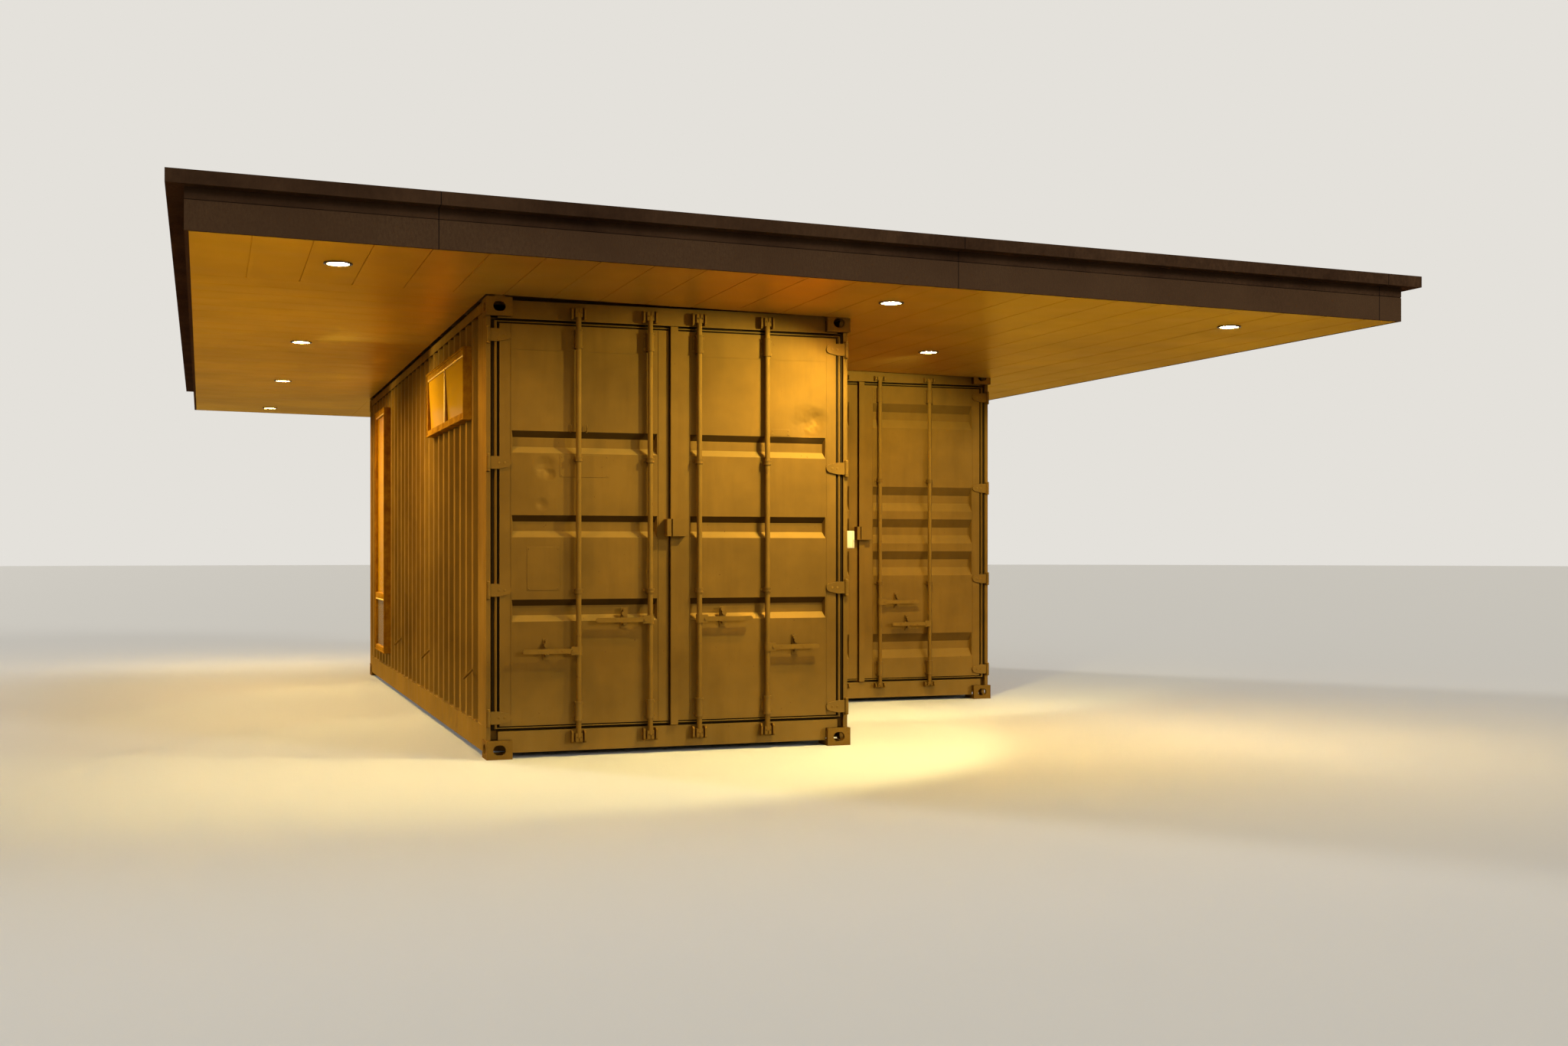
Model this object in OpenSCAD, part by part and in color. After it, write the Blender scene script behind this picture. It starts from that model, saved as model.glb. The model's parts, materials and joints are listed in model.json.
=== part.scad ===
// Container cabin: two high-cube shipping containers side by side under one cantilevered canopy roof.
// Millimetres, +Z up, +Y towards the back. Origin: middle of the roof's plan, level with the containers' feet.

/* [Containers] */
// Width of each container
container_w = 2438; // [2300:1:2600]
// Height of each container
container_h = 2896; // [2591:1:3000]
// Length of the near container
near_l = 7620; // [7200:10:9000]
// Length of the far container
far_l = 6058; // [5900:10:7500]
// Gap between the two containers
side_gap = 24; // [10:1:80]
// Distance that the far container stands back
far_setback = 2830; // [1700:10:3400]

/* [Corner castings] */
// Width of a corner casting, across the container
casting_w = 162; // [150:1:175]
// Length of a corner casting, along the container
casting_l = 178; // [165:1:190]
// Height of a corner casting
casting_h = 118; // [105:1:125]
// Wall of a corner casting
casting_t = 28; // [20:1:34]

/* [Frame] */
// How far rails and posts stand in from the castings' outer faces
frame_inset = 4; // [2:1:8]
// Height of the bottom side rails' lower edge above the ground
rail_bottom = 36; // [20:1:60]
// Height of the bottom side rails
rail_h = 162; // [140:1:180]
// Width of the bottom side rails
rail_w = 48; // [40:1:60]
// Wall of the bottom side rails
rail_t = 5; // [3:0.5:8]
// Side of the square top side rails
top_rail = 60; // [50:1:80]
// Drop of the top side rails below the castings' top
top_rail_drop = 14; // [8:1:25]
// Wall of posts and square tubes
tube_t = 6; // [3:0.5:8]
// Width of the door posts' front face
post_face = 28; // [20:1:34]
// Reach of the door posts behind the doors, across the container
post_reach = 74; // [60:1:90]
// Height of the door header
header_h = 128; // [120:1:160]
// Top of the door sill above the ground
sill_top = 172; // [150:1:190]
// Pitch of the floor's cross members
cross_pitch = 305; // [250:1:450]
// Height of the cross members
cross_h = 122; // [100:1:130]
// Thickness of the plywood floor
floor_t = 28; // [18:1:32]
// Top of the plywood floor above the ground
floor_top = 170; // [160:1:190]

/* [Corrugated walls] */
// Thickness of the wall sheets
sheet_t = 2; // [1.6:0.1:4]
// Depth of the wall corrugations
wall_depth = 36; // [25:1:40]
// Pitch of the wall corrugations
wall_pitch = 276; // [240:1:300]
// Width of the outer flats
wall_crest = 72; // [50:1:90]
// Width of the inner flats
wall_trough = 70; // [50:1:90]
// Setback of the outer flats from the castings' outer faces
wall_inset = 9; // [6:1:14]
// Depth of the roof sheet's corrugations
lid_depth = 20; // [12:1:25]
// Pitch of the roof sheet's corrugations
lid_pitch = 209; // [180:1:260]

/* [Cargo doors] */
// Setback of the doors' outer face from the castings' front face
door_face = 45; // [40:1:55]
// Thickness of the doors
door_t = 50; // [45:1:55]
// Gap round each door
door_gap = 6; // [5:0.5:10]
// Shift of the doors' meeting line to the left of the middle
meeting_shift = 29; // [0:1:40]
// Gap between the two doors
meeting_gap = 10; // [8:0.5:14]
// Distance of the recessed bands from the container's side
band_side = 164; // [150:1:190]
// Distance of the recessed bands from the middle
band_mid = 111; // [100:1:130]
// Setback of the door posts' front from the castings' front face
post_front = 48; // [46:1:52]
// Depth of the recessed bands
band_depth = 32; // [20:1:36]
// Height of the near doors' bands
near_band_h = 140; // [120:1:180]
// Height of the sloping sides of the near doors' bands
near_band_slope = 40; // [24:1:56]
// Drop of the near doors' bands below the doors' middle
near_band_drop = 8; // [0:1:20]
// Spacing of the near doors' bands
near_band_pitch = 533; // [450:1:600]
// Height of the far doors' bands
far_band_h = 211; // [150:1:215]
// Height of the sloping sides of the far doors' bands
far_band_slope = 72; // [40:1:90]
// Rise of the far doors' middle bands above the doors' middle
far_band_rise = 7; // [0:1:20]
// Spacing of the far doors' middle bands
far_band_pitch = 280; // [260:1:320]
// Distance of the far doors' top band below the doors' upper edge, to the band's middle
far_band_top = 283; // [230:1:320]
// Distance of the far doors' bottom band above the doors' lower edge, to the band's middle
far_band_bottom = 303; // [230:1:340]
// Width of the bands' steep ends
band_end_slope = 11; // [6:1:30]
// Width of the rebate for the rubber seal at each door's top and bottom
seal_w = 26; // [18:1:32]
// Width of the rebate for the rubber seal at each door's hinge side
seal_side = 50; // [30:1:56]
// Depth of the rebate for the rubber seal
seal_t = 14; // [6:0.5:16]
// Distance of the near doors' sheet seam below their upper edge
seam_drop = 190; // [180:1:240]
// Distance of the inner lock rods from the middle
inner_rod = 165; // [140:1:200]
// Distance of the outer lock rods from the middle
outer_rod = 634; // [600:1:700]
// Radius of the lock rods
rod_r = 17; // [14:0.5:19]
// Distance of the lock rods' axes in front of the doors' face
rod_standoff = 32; // [29:1:36]
// Width of the rod guides' base plates
guide_base = 76; // [60:1:90]
// Reach of the near doors' lock rods over the header and the sill
near_rise = 78; // [50:1:90]
// Reach of the far doors' lock rods over the header and the sill, which stay below the soffit
far_rise = 40; // [36:1:46]
// Length of the handles from the rod's axis
handle_l = 360; // [300:5:420]
// Height of the inner rods' handles
inner_handle_z = 843; // [750:1:950]
// Height of the outer rods' handles
outer_handle_z = 650; // [500:1:720]
// Distance of the catch from the inner rods' axes
inner_catch = 167; // [120:1:260]
// Distance of the catch from the outer rods' axes
outer_catch = 202; // [120:1:260]
// Distance of the hinge pins from the container's side
pin_x = 15; // [13:0.5:18]
// Distance of the hinge pins behind the castings' front face
pin_y = 32; // [31:0.5:34]
// Width of the tube that covers the meeting gap
astragal_w = 48; // [35:1:60]
// Depth of the tube that covers the meeting gap
astragal_t = 22; // [15:1:25]
// Reach of the lock box to the right of the meeting gap
lock_right = 101; // [80:1:120]
// Reach of the lock box to the left of the meeting gap
lock_left = 27; // [20:1:40]
// Height of the lock box's lower edge
lock_z = 1401; // [1350:1:1450]
// Height of the lock box
lock_h = 112; // [90:1:130]
// Depth of the lock box
lock_depth = 68; // [50:1:75]
// Radius of the hinge pins
pin_r = 9; // [7:0.5:9.5]
// Height of the hinge blades
hinge_h = 80; // [60:1:90]
// Distance of the lowest hinge above the doors' lower edge
hinge_low = 81; // [70:1:120]
// Distance of the highest hinge below the doors' upper edge
hinge_high = 101; // [70:1:120]

/* [Windows] */
// Distance of the high window from the near container's front
high_y = 720; // [600:5:900]
// Width of the high window
high_w = 1905; // [1500:5:2200]
// Drop of the high window's sill below the castings' top
high_drop = 716; // [650:1:950]
// Height of the high window
high_h = 480; // [400:5:520]
// Distance of the tall window from the near container's front
tall_y = 5810; // [5500:5:6000]
// Width of the tall window
tall_w = 860; // [700:5:950]
// Height of the tall window's sill
tall_z = 325; // [300:5:500]
// Drop of the tall window's head below the castings' top
tall_drop = 221; // [200:1:500]
// Height of the tall window's transom above its sill
tall_transom = 515; // [400:5:800]
// Face width of the window frames
window_bar = 45; // [35:1:60]
// How far the window frames stand out from the castings' face
window_proud = 35; // [20:1:50]
// Wall of the window frames
window_t = 12; // [8:1:16]
// Thickness of the panes
glass_t = 20; // [10:1:24]

/* [Roof] */
// Overhang beyond the near container's side
left_overhang = 1755; // [1500:5:1900]
// Overhang beyond the far container's side
right_overhang = 890; // [700:5:1100]
// Overhang in front of the near container
front_overhang = 1414; // [1200:1:1600]
// Overhang behind the far container
back_overhang = 1042; // [800:1:1300]
// Height of the soffit above the containers' top, over the near container's outer side
soffit_rise = 10; // [4:1:30]
// Fall of the roof to the right, in millimetres a metre
roof_fall = 14.7; // [5:0.1:18]
// Thickness of the soffit boards
soffit_t = 20; // [12:1:24]
// Pitch of the soffit boards
soffit_pitch = 305; // [250:1:400]
// Gap between the soffit and the containers
soffit_gap = 6; // [4:1:12]
// Height of the deck's underside above the soffit
deck_low = 240; // [220:1:260]
// Thickness of the deck
deck_t = 22; // [16:1:24]
// Height of the roof's top edge above the soffit
cap_top = 290; // [285:1:330]
// Height of the cap's face
cap_h = 72; // [68:1:90]
// How far the cap stands out from the fascia
cap_out = 90; // [60:1:120]
// Thickness of the cap's folded sheet
cap_t = 4; // [3:0.5:6]
// Thickness of the fascia
fascia_t = 22; // [18:1:30]
// Height of the fascia's groove above the soffit
groove_z = 155; // [140:1:170]
// Pitch of the roof joists
joist_pitch = 610; // [500:5:800]
// Thickness of the joists
joist_t = 45; // [38:1:60]
// Height of the bearers on the containers
bearer_h = 40; // [30:1:60]
// Width of the bearers on the containers
bearer_w = 60; // [50:1:80]
// Radius of the downlights' trims
light_r = 80; // [60:1:100]

/* [Small fittings] */
// Width and height of the outlet box
outlet_size = [70, 118]; // [50:1:130]
// Depth of the outlet box
outlet_depth = 50; // [40:1:60]
// Distance of the outlet box from the near container's front
outlet_y = 50; // [30:1:100]
// Height of the outlet box's lower edge
outlet_z = 1323; // [1200:1:1500]
// Radius of the pegs on the side wall
peg_r = 8; // [6:0.5:12]
// Length of the pegs on the side wall
peg_l = 85; // [60:5:160]
// Height of the pegs' roots
peg_z = 525; // [400:5:600]

/* [Hidden] */
$fn = 48;

container_colour = "#8f7b5c";
steel_colour = "#7a6a52";
window_colour = "#9a5a26";
bronze_colour = "#4a3527";
soffit_colour = "#a9823f";

far_x = container_w + side_gap;
top_casting_z = container_h - casting_h;
soffit_z = container_h + soffit_rise;
roof_x0 = -left_overhang;
roof_x1 = far_x + container_w + right_overhang;
roof_y0 = -front_overhang;
roof_y1 = far_setback + far_l + back_overhang;
plan_mid = [(roof_x0 + roof_x1) / 2, (roof_y0 + roof_y1) / 2];

// Heights and clearances that several pieces share
rail_top = rail_bottom + rail_h;
top_rail_low = container_h - top_rail_drop - top_rail;
header_low = container_h - header_h;
door_low = sill_top + door_gap;
door_high = header_low - door_gap;
door_mid_z = (door_low + door_high) / 2;
leaf_x = post_face + frame_inset + door_gap;
meeting_x = container_w / 2 - meeting_shift;
door_back = door_face + door_t;
wall_high_x = wall_inset + wall_depth + sheet_t;
post_back = casting_l;
end_tube = 60;
rod_y = door_face - rod_standoff;
rod_play = 0.8;
seat = 0.3;
over = 1;

// Puts a piece drawn from the near container's front left corner into the part's own frame
module site() translate([-plan_mid[0], -plan_mid[1], 0]) children();

// Puts a piece drawn from a container's own front left corner on the far container
module far_place() site() translate([far_x, far_setback, 0]) children();

// Box between two corners
module block(low, high) translate(low) cube(high - low);

// Mirrors a piece about a container's middle plane and keeps both copies
module both_sides() {
    children();
    translate([container_w, 0, 0]) mirror([1, 0, 0]) children();
}

// One of the two halves of a container's front: 0 is left, 1 is right
module half(side) {
    if (side == 0) children();
    else translate([container_w, 0, 0]) mirror([1, 0, 0]) children();
}

// Number of whole waves that fit in a run with a crest at each end
function wave_count(run, pitch, crest) = floor((run - 2 * crest) / pitch);

// Where the first wave starts, so that the sheet ends alike on both sides
function wave_start(run, pitch, crest) = (run - wave_count(run, pitch, crest) * pitch - crest) / 2;

// Outline of a corrugated sheet's outer face over a given run; depth 0 is the outermost line
function wave(run, pitch, crest, trough, depth) =
    let (slope = (pitch - crest - trough) / 2, start = wave_start(run, pitch, crest))
    concat([[0, 0]],
        [for (i = [0 : wave_count(run, pitch, crest) - 1],
            p = [[crest, 0], [crest + slope, depth], [crest + slope + trough, depth], [pitch, 0]])
            [start + i * pitch + p[0], p[1]]],
        [[run, 0]]);

// Outline of a corrugated sheet of one thickness
module corrugated_outline(run, pitch, crest, trough, depth, thickness) {
    front = wave(run, pitch, crest, trough, depth);
    back = [for (i = [len(front) - 1 : -1 : 0]) front[i] + [0, thickness]];
    polygon(concat(front, back));
}

// Outline of the corrugated side and rear walls
module wall_outline(run) corrugated_outline(run, wall_pitch, wall_crest, wall_trough, wall_depth, sheet_t);

// Tube of rectangular section along X between two corners, open at its ends
module tube_x(low, high, wall) difference() {
    block(low, high);
    block([low[0] - over, low[1] + wall, low[2] + wall], [high[0] + over, high[1] - wall, high[2] - wall]);
}

// Eight oval-holed castings for a container of a given length
module castings(length) {
    for (y = [0, length - casting_l], z = [0, top_casting_z])
        both_sides() translate([0, y, z]) casting(y > 0, z > 0);
}

// One hollow casting at the origin, its outer corner at the left; front and bottom when not told otherwise
module casting(rear, top) {
    slot_w = 63;
    slot_l = 79;
    top_slot_l = 124;
    difference() {
        cube([casting_w, casting_l, casting_h]);
        translate([casting_t, rear ? -over : casting_t, top ? -over : casting_t])
            cube([casting_w, casting_l - casting_t + over, casting_h - casting_t + over]);
        // oval hole in the end face
        translate([casting_w / 2, rear ? casting_l : 0, casting_h / 2]) rotate([90, 0, 0])
            translate([0, 0, -casting_t - over]) oval(slot_l, slot_w, 2 * (casting_t + over));
        // oval hole in the side face
        translate([0, casting_l / 2, casting_h / 2]) rotate([90, 0, 90])
            translate([0, 0, -casting_t - over]) oval(slot_l, slot_w, 2 * (casting_t + over));
        // oval hole in the top or bottom face
        translate([casting_w / 2, casting_l / 2, top ? casting_h : 0]) rotate([0, 0, 90])
            translate([0, 0, -casting_t - over]) oval(top_slot_l, slot_w, 2 * (casting_t + over));
    }
}

// Prism with an outline of two half circles, along X
module oval(length, width, height) {
    translate([-(length - width) / 2, -width / 2, 0]) cube([length - width, width, height]);
    for (side = [-1, 1]) translate([side * (length - width) / 2, 0, 0]) cylinder(r = width / 2, h = height);
}

// Four corner posts: door posts with a step that the doors close against, and rear angle posts
module posts(length) {
    height = top_casting_z - casting_h;
    depth = post_back - post_front;
    step = door_back + door_gap - post_front;
    door_post = [[0, 0], [post_face, 0], [post_face, step], [post_reach, step], [post_reach, depth], [0, depth]];
    door_post_core = [[tube_t, tube_t], [post_face - tube_t, tube_t], [post_face - tube_t, step + tube_t],
        [post_reach - tube_t, step + tube_t], [post_reach - tube_t, depth - tube_t], [tube_t, depth - tube_t]];
    angle_depth = post_back - frame_inset;
    leg = wall_high_x + tube_t;
    rear_angle = [[0, 0], [leg, 0], [leg, angle_depth - leg], [casting_w - frame_inset, angle_depth - leg],
        [casting_w - frame_inset, angle_depth], [0, angle_depth]];
    both_sides() {
        translate([frame_inset, post_front, casting_h]) linear_extrude(height) difference() {
            polygon(door_post);
            polygon(door_post_core);
        }
        translate([frame_inset, length - post_back, casting_h]) linear_extrude(height) polygon(rear_angle);
    }
}

// Side rails, door sill and rear sill between the bottom castings
module base_rails(length) {
    both_sides() translate([frame_inset, casting_l, rail_bottom]) difference() {
        cube([rail_w, length - 2 * casting_l, rail_h]);
        translate([rail_t, -over, rail_t]) cube([rail_w, length, rail_h - 2 * rail_t]);
    }
    door_sill(post_reach + frame_inset, casting_h);
    door_sill(casting_w, rail_bottom);
    tube_x([casting_w, length - frame_inset - end_tube, rail_bottom],
        [container_w - casting_w, length - frame_inset, rail_top], tube_t);
}

// Part of the door sill from a height up, starting at a distance from each side
module door_sill(side, low)
    block([side, door_face, low], [container_w - side, post_back, sill_top]);

// Channel-section cross members between the side rails
module cross_members(length) {
    first = casting_l + cross_pitch / 2;
    count = floor((length - 2 * first) / cross_pitch);
    step = (length - 2 * first) / count;
    low = floor_top - floor_t - cross_h;
    for (i = [0 : count]) translate([frame_inset + rail_w, first + i * step - rail_w / 2, low]) difference() {
        cube([container_w - 2 * (frame_inset + rail_w), rail_w, cross_h]);
        translate([-over, rail_t, rail_t]) cube([container_w, rail_w, cross_h - 2 * rail_t]);
    }
}

// Plywood floor from the door sill to the rear sill
module floor_board(length) {
    side = frame_inset + wall_high_x + tube_t + seat;
    block([side, post_back + seat, floor_top - floor_t],
        [container_w - side, length - frame_inset - end_tube - seat, floor_top]);
}

// Square side rails, door header and rear header between the top castings
module top_rails(length) {
    both_sides() translate([frame_inset, casting_l, top_rail_low]) difference() {
        cube([top_rail, length - 2 * casting_l, top_rail]);
        translate([tube_t, -over, tube_t]) cube([top_rail - 2 * tube_t, length, top_rail - 2 * tube_t]);
    }
    high = container_h - top_rail_drop;
    tube_x([casting_w, door_face, header_low], [container_w - casting_w, post_back, high], tube_t);
    block([post_reach + frame_inset, door_face, header_low], [container_w - post_reach - frame_inset, post_back,
        top_casting_z]);
    tube_x([casting_w, length - frame_inset - end_tube, top_rail_low],
        [container_w - casting_w, length - frame_inset, high], tube_t);
    // plate that closes the roof between the rear castings
    block([casting_w, length - casting_l, high - tube_t],
        [container_w - casting_w, length - frame_inset - tube_t, high]);
}

// Corrugated roof sheet between the top side rails, its waves across the container
module roof_sheet(length) {
    side = frame_inset + top_rail;
    translate([side, casting_l, container_h - top_rail_drop]) rotate([90, 0, 90]) mirror([0, 1, 0])
        linear_extrude(container_w - 2 * side)
        corrugated_outline(length - 2 * casting_l, lid_pitch, lid_pitch * 0.44, lid_pitch * 0.28, lid_depth,
            sheet_t);
}

// Corrugated side wall on the left side of a container
module side_wall(length) {
    run = length - 2 * post_back;
    translate([wall_inset, post_back + run, rail_top]) rotate([0, 0, -90])
        linear_extrude(top_rail_low - rail_top) wall_outline(run);
}

// Corrugated rear wall between the rear posts
module rear_wall(length) {
    run = container_w - 2 * casting_w;
    translate([container_w - casting_w, length - wall_inset, rail_top]) rotate([0, 0, 180])
        linear_extrude(top_rail_low - rail_top) wall_outline(run);
}

// Heights of the hinges' middles, shared by the blades and the lugs
function hinge_heights() = [for (k = [0 : 3])
    door_low + hinge_low + k * (door_high - door_low - hinge_low - hinge_high) / 3];

// Lugs on the door posts, above and below each hinge blade, with the hinge pin
module lugs() {
    lug_t = 12;
    gap = 2;
    lug_r = pin_r + 4;
    for (z = hinge_heights()) translate([pin_x, pin_y, z]) {
        for (level = [-hinge_h / 2 - lug_t - gap, hinge_h / 2 + gap]) translate([0, 0, level]) {
            cylinder(r = lug_r, h = lug_t);
            translate([-lug_r + 2, 0, 0]) cube([2 * lug_r - 4, post_front - pin_y, lug_t]);
        }
        translate([0, 0, -hinge_h / 2 - lug_t - gap]) cylinder(r = pin_r, h = hinge_h + 2 * (lug_t + gap));
    }
}

// Horns that each lock rod's cam sits between, on the header and the sill
module keepers(rods, rise) {
    horn_gap = 35;
    horn_t = 12;
    lap = 8;
    nose = 14;
    depth = door_face - rod_y + nose;
    chamfer = 12;
    for (offset = rods, z = [header_low + lap, sill_top - rise - lap], horn = [-1, 1])
        translate([container_w / 2 + offset + (horn > 0 ? horn_gap : -horn_gap - horn_t), rod_y - nose, z])
            rotate([90, 0, 90]) linear_extrude(horn_t) polygon([[depth, 0], [depth, rise], [chamfer, rise],
                [0, rise - chamfer], [0, chamfer], [chamfer, 0]]);
}

// One door leaf on the left half: frame, panel with recessed bands, hinge blades, rod guides and catches.
// The outer rod's handle points to the meeting gap where inward is 1, and to the hinges where it is -1.
module leaf(end_x, bands, band_h, slope, guide_places, inward) {
    band_end = container_w / 2 - band_mid;
    lip = 12;
    joint = 4;
    difference() {
        block([leaf_x, door_face, door_low], [end_x, door_back, door_high]);
        // rebate for the rubber seal at the hinge side, the top and the bottom
        difference() {
            block([leaf_x - over, door_face - over, door_low - over], [end_x + over, door_face + seal_t,
                door_high + over]);
            block([leaf_x + seal_side, door_face - 2 * over, door_low + seal_w], [end_x + 2 * over,
                door_face + seal_t + over, door_high - seal_w]);
        }
        // joints between the stiles and the panel's sheets
        for (x = [band_side - 2 * joint - over, band_end + joint])
            block([x, door_face - over, door_low + seal_w + joint], [x + joint, door_face + 2,
                door_high - seal_w - joint]);
        // the panel is a thin sheet inside the frame
        block([band_side - lip, door_face + band_depth + 2 * sheet_t, door_low + band_side - lip],
            [band_end + lip, door_back + over, door_high - band_side + lip]);
        for (z = bands) translate([band_side, door_face, z - band_h / 2])
            band_cut(band_end - band_side, band_h, slope);
    }
    blades();
    for (offset = [inner_rod, outer_rod]) translate([container_w / 2 - offset, 0, 0]) guides(guide_places);
    catch(container_w / 2 - inner_rod - inner_catch, inner_handle_z);
    catch(container_w / 2 - outer_rod + inward * outer_catch, outer_handle_z);
}

// A near door's leaf, with the seam between its upper and lower sheets
module near_leaf(end_x) difference() {
    leaf(end_x, near_bands, near_band_h, near_band_slope, guide_list(near_guide), -1);
    block([band_side, door_face - over, door_high - seam_drop], [container_w / 2 - band_mid, door_face + 2,
        door_high - seam_drop + 4]);
}

// Tube that covers the meeting gap, on the right door's edge
module astragal() {
    low_x = meeting_x + meeting_gap / 2;
    block([low_x, door_face - astragal_t, door_low], [low_x + astragal_w, door_face, door_high]);
}

// Cutter of one recessed band: a trough with sloping top and bottom and steep ends
module band_cut(width, height, slope) {
    side = over * band_end_slope / band_depth;
    rise = over * slope / band_depth;
    intersection() {
        translate([0, 0, -rise]) linear_extrude(height + 2 * rise)
            polygon([[-side, -over], [width + side, -over], [width - band_end_slope, band_depth],
                [band_end_slope, band_depth]]);
        translate([-side, 0, 0]) rotate([90, 0, 90]) linear_extrude(width + 2 * side)
            polygon([[-over, -rise], [band_depth, slope], [band_depth, height - slope], [-over, height + rise]]);
    }
}

// Flat blades that reach from each hinge pin over the leaf's stile, tapering to round tips
module blades() {
    blade_t = door_face - pin_y;
    start = (leaf_x - pin_x) + (band_side - 4 - leaf_x) / 3;
    taper = hinge_h * 0.34;
    round_x = band_side - 4 - pin_x - taper;
    for (z = hinge_heights()) translate([pin_x, pin_y, z]) difference() {
        union() {
            translate([0, 0, -hinge_h / 2]) cylinder(r = pin_r + 4, h = hinge_h);
            translate([0, blade_t, 0]) rotate([90, 0, 0]) linear_extrude(blade_t)
                polygon(concat([[0, -hinge_h / 2], [start, -hinge_h / 2]],
                    [for (a = [-75:30:75]) [round_x + taper * cos(a), taper * sin(a)]],
                    [[start, hinge_h / 2], [0, hinge_h / 2]]));
        }
        translate([0, 0, -hinge_h / 2 - over]) cylinder(r = pin_r + rod_play, h = hinge_h + 2 * over);
    }
}

// Guides that hold one lock rod on its door: places are pairs of lower edge and height
module guides(places) {
    outer = rod_r + 6;
    ring = 8;
    base_t = 4;
    base = guide_base / 2;
    for (g = places) translate([0, rod_y, g[0]]) difference() {
        union() {
            cylinder(r = outer, h = g[1]);
            for (z = [0, g[1] - ring]) translate([0, 0, z]) cylinder(r = outer + 3, h = ring);
            translate([-outer, 0, 0]) cube([2 * outer, rod_standoff, g[1]]);
            translate([-base, rod_standoff - base_t, 4]) cube([2 * base, base_t, g[1] - 8]);
        }
        translate([0, 0, -over]) cylinder(r = rod_r + rod_play, h = g[1] + 2 * over);
    }
}

// Cam on the end of a lock rod: two lobes with a groove and a dimple each, and a tongue towards the frame
module cam(height) {
    cam_r = 26;
    groove = 4;
    difference() {
        intersection() {
            cylinder(r = cam_r, h = height);
            union() {
                translate([-cam_r, -15, 0]) cube([2 * cam_r, 24, height]);
                translate([-12, 0, 0]) cube([24, cam_r, height]);
            }
        }
        translate([-groove, -cam_r, -over]) cube([2 * groove, cam_r - 9, height + 2 * over]);
        for (side = [-1, 1]) translate([side * 14, -9, height / 2]) rotate([90, 0, 0])
            cylinder(r = 5, h = cam_r);
    }
}

// Hub and handle of a lock rod, with a bolt boss where they meet
module handle(towards) {
    grip_t = 12;
    grip_h = 30;
    hub_h = 58;
    hub = rod_r + 5;
    way = towards > 0 ? 0 : 1;
    translate([0, 0, -7]) cylinder(r = hub, h = hub_h);
    mirror([way, 0, 0]) {
        translate([0, -hub, 6]) cube([handle_l - grip_h / 2, grip_t, grip_h]);
        translate([handle_l - grip_h / 2, -hub + grip_t, 6 + grip_h / 2]) rotate([90, 0, 0])
            cylinder(r = grip_h / 2, h = grip_t);
        translate([0, -hub, -4]) cube([52, grip_t, hub_h - 6]);
        translate([38, -hub, hub_h / 2 - 7]) rotate([90, 0, 0]) cylinder(r = 10, h = 5);
    }
}

// One lock rod with its cams and its handle, at a distance from the middle on the left half
module lock_rod(offset, handle_z, towards, rise) {
    cam_h = rise * 0.7;
    low = sill_top - rise;
    high = header_low + rise;
    translate([container_w / 2 - offset, rod_y, 0]) {
        translate([0, 0, low + cam_h / 2]) cylinder(r = rod_r, h = high - low - cam_h);
        for (z = [low, high - cam_h]) translate([0, 0, z]) cam(cam_h);
        translate([0, 0, handle_z]) handle(towards);
    }
}

// Catch that holds a handle, on the door's face: a plate, a shelf under the handle and a lever over it
module catch(offset, handle_z) translate([offset, door_face, handle_z]) {
    plate_t = 6;
    plate_w = 44;
    plate_low = 34;
    plate_high = 100;
    shelf_w = 30;
    shelf_t = 10;
    shelf_y = rod_standoff + rod_r - plate_t / 3;
    lever_z = 60;
    lever_top = 82;
    lever_r = 16;
    lever_t = 30;
    lean = 4;
    block([-plate_w / 2, -plate_t, -plate_low], [plate_w / 2, 0, plate_high]);
    block([-shelf_w / 2, -shelf_y, -shelf_t], [shelf_w / 2, 0, 0]);
    translate([-lean, 0, lever_z]) rotate([90, 0, 0]) cylinder(r = lever_r, h = lever_t);
    translate([lean, 0, lever_top]) rotate([90, 0, 0]) cylinder(r = lever_r - 2, h = lever_t * 0.8);
}

// Half of the shield over the padlock, between two places across the container
module lock_box(low_x, high_x, open_low, open_high) {
    wall = 6;
    low = lock_z;
    high = lock_z + lock_h;
    difference() {
        block([low_x, door_face - lock_depth, low], [high_x, door_face, high]);
        block([low_x + (open_low ? -over : wall), door_face - lock_depth + wall, low - over],
            [high_x - (open_high ? -over : wall), door_face + over, high - wall]);
    }
}

// Slab that follows the roof's fall, between two heights above the soffit's underside
module roof_slab(x0, x1, y0, y1, low, high)
    translate([0, y1, 0]) rotate([90, 0, 0]) linear_extrude(y1 - y0)
        polygon([[x0, under(x0) + low], [x1, under(x1) + low], [x1, under(x1) + high], [x0, under(x0) + high]]);

// Height of the soffit's underside at a place across the roof
function under(x) = soffit_z - roof_fall / 1000 * x;

// The space that a container takes under the roof
module container_space(x, y, length, margin, high)
    block([x - margin, y - margin, 0], [x + container_w + margin, y + length + margin, high]);

function light_places() = [[-950, -740], [-950, 2960], [-950, 6030], [-950, 9210], [2420, -740], [4920, -740],
    [3650, 1400]];

// Boards of one soffit field with a groove at each joint, along Y or along X
module soffit_field(x0, x1, y0, y1, along_y) {
    groove = 6;
    difference() {
        roof_slab(x0, x1, y0, y1, 0, soffit_t);
        if (along_y)
            for (x = [x0 + soffit_pitch : soffit_pitch : x1 - 1])
                roof_slab(x, x + groove, y0 - over, y1 + over, -over, groove);
        else
            for (y = [y0 + soffit_pitch : soffit_pitch : y1 - 1])
                roof_slab(x0 - over, x1 + over, y, y + groove, -over, groove);
        for (p = light_places()) translate([p[0], p[1], under(p[0]) - 5 * soffit_t])
            cylinder(r = light_r - trim_w + 2, h = 10 * soffit_t);
    }
}

module corner_castings() color(steel_colour) {
    site() castings(near_l);
    far_place() castings(far_l);
}

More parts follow.
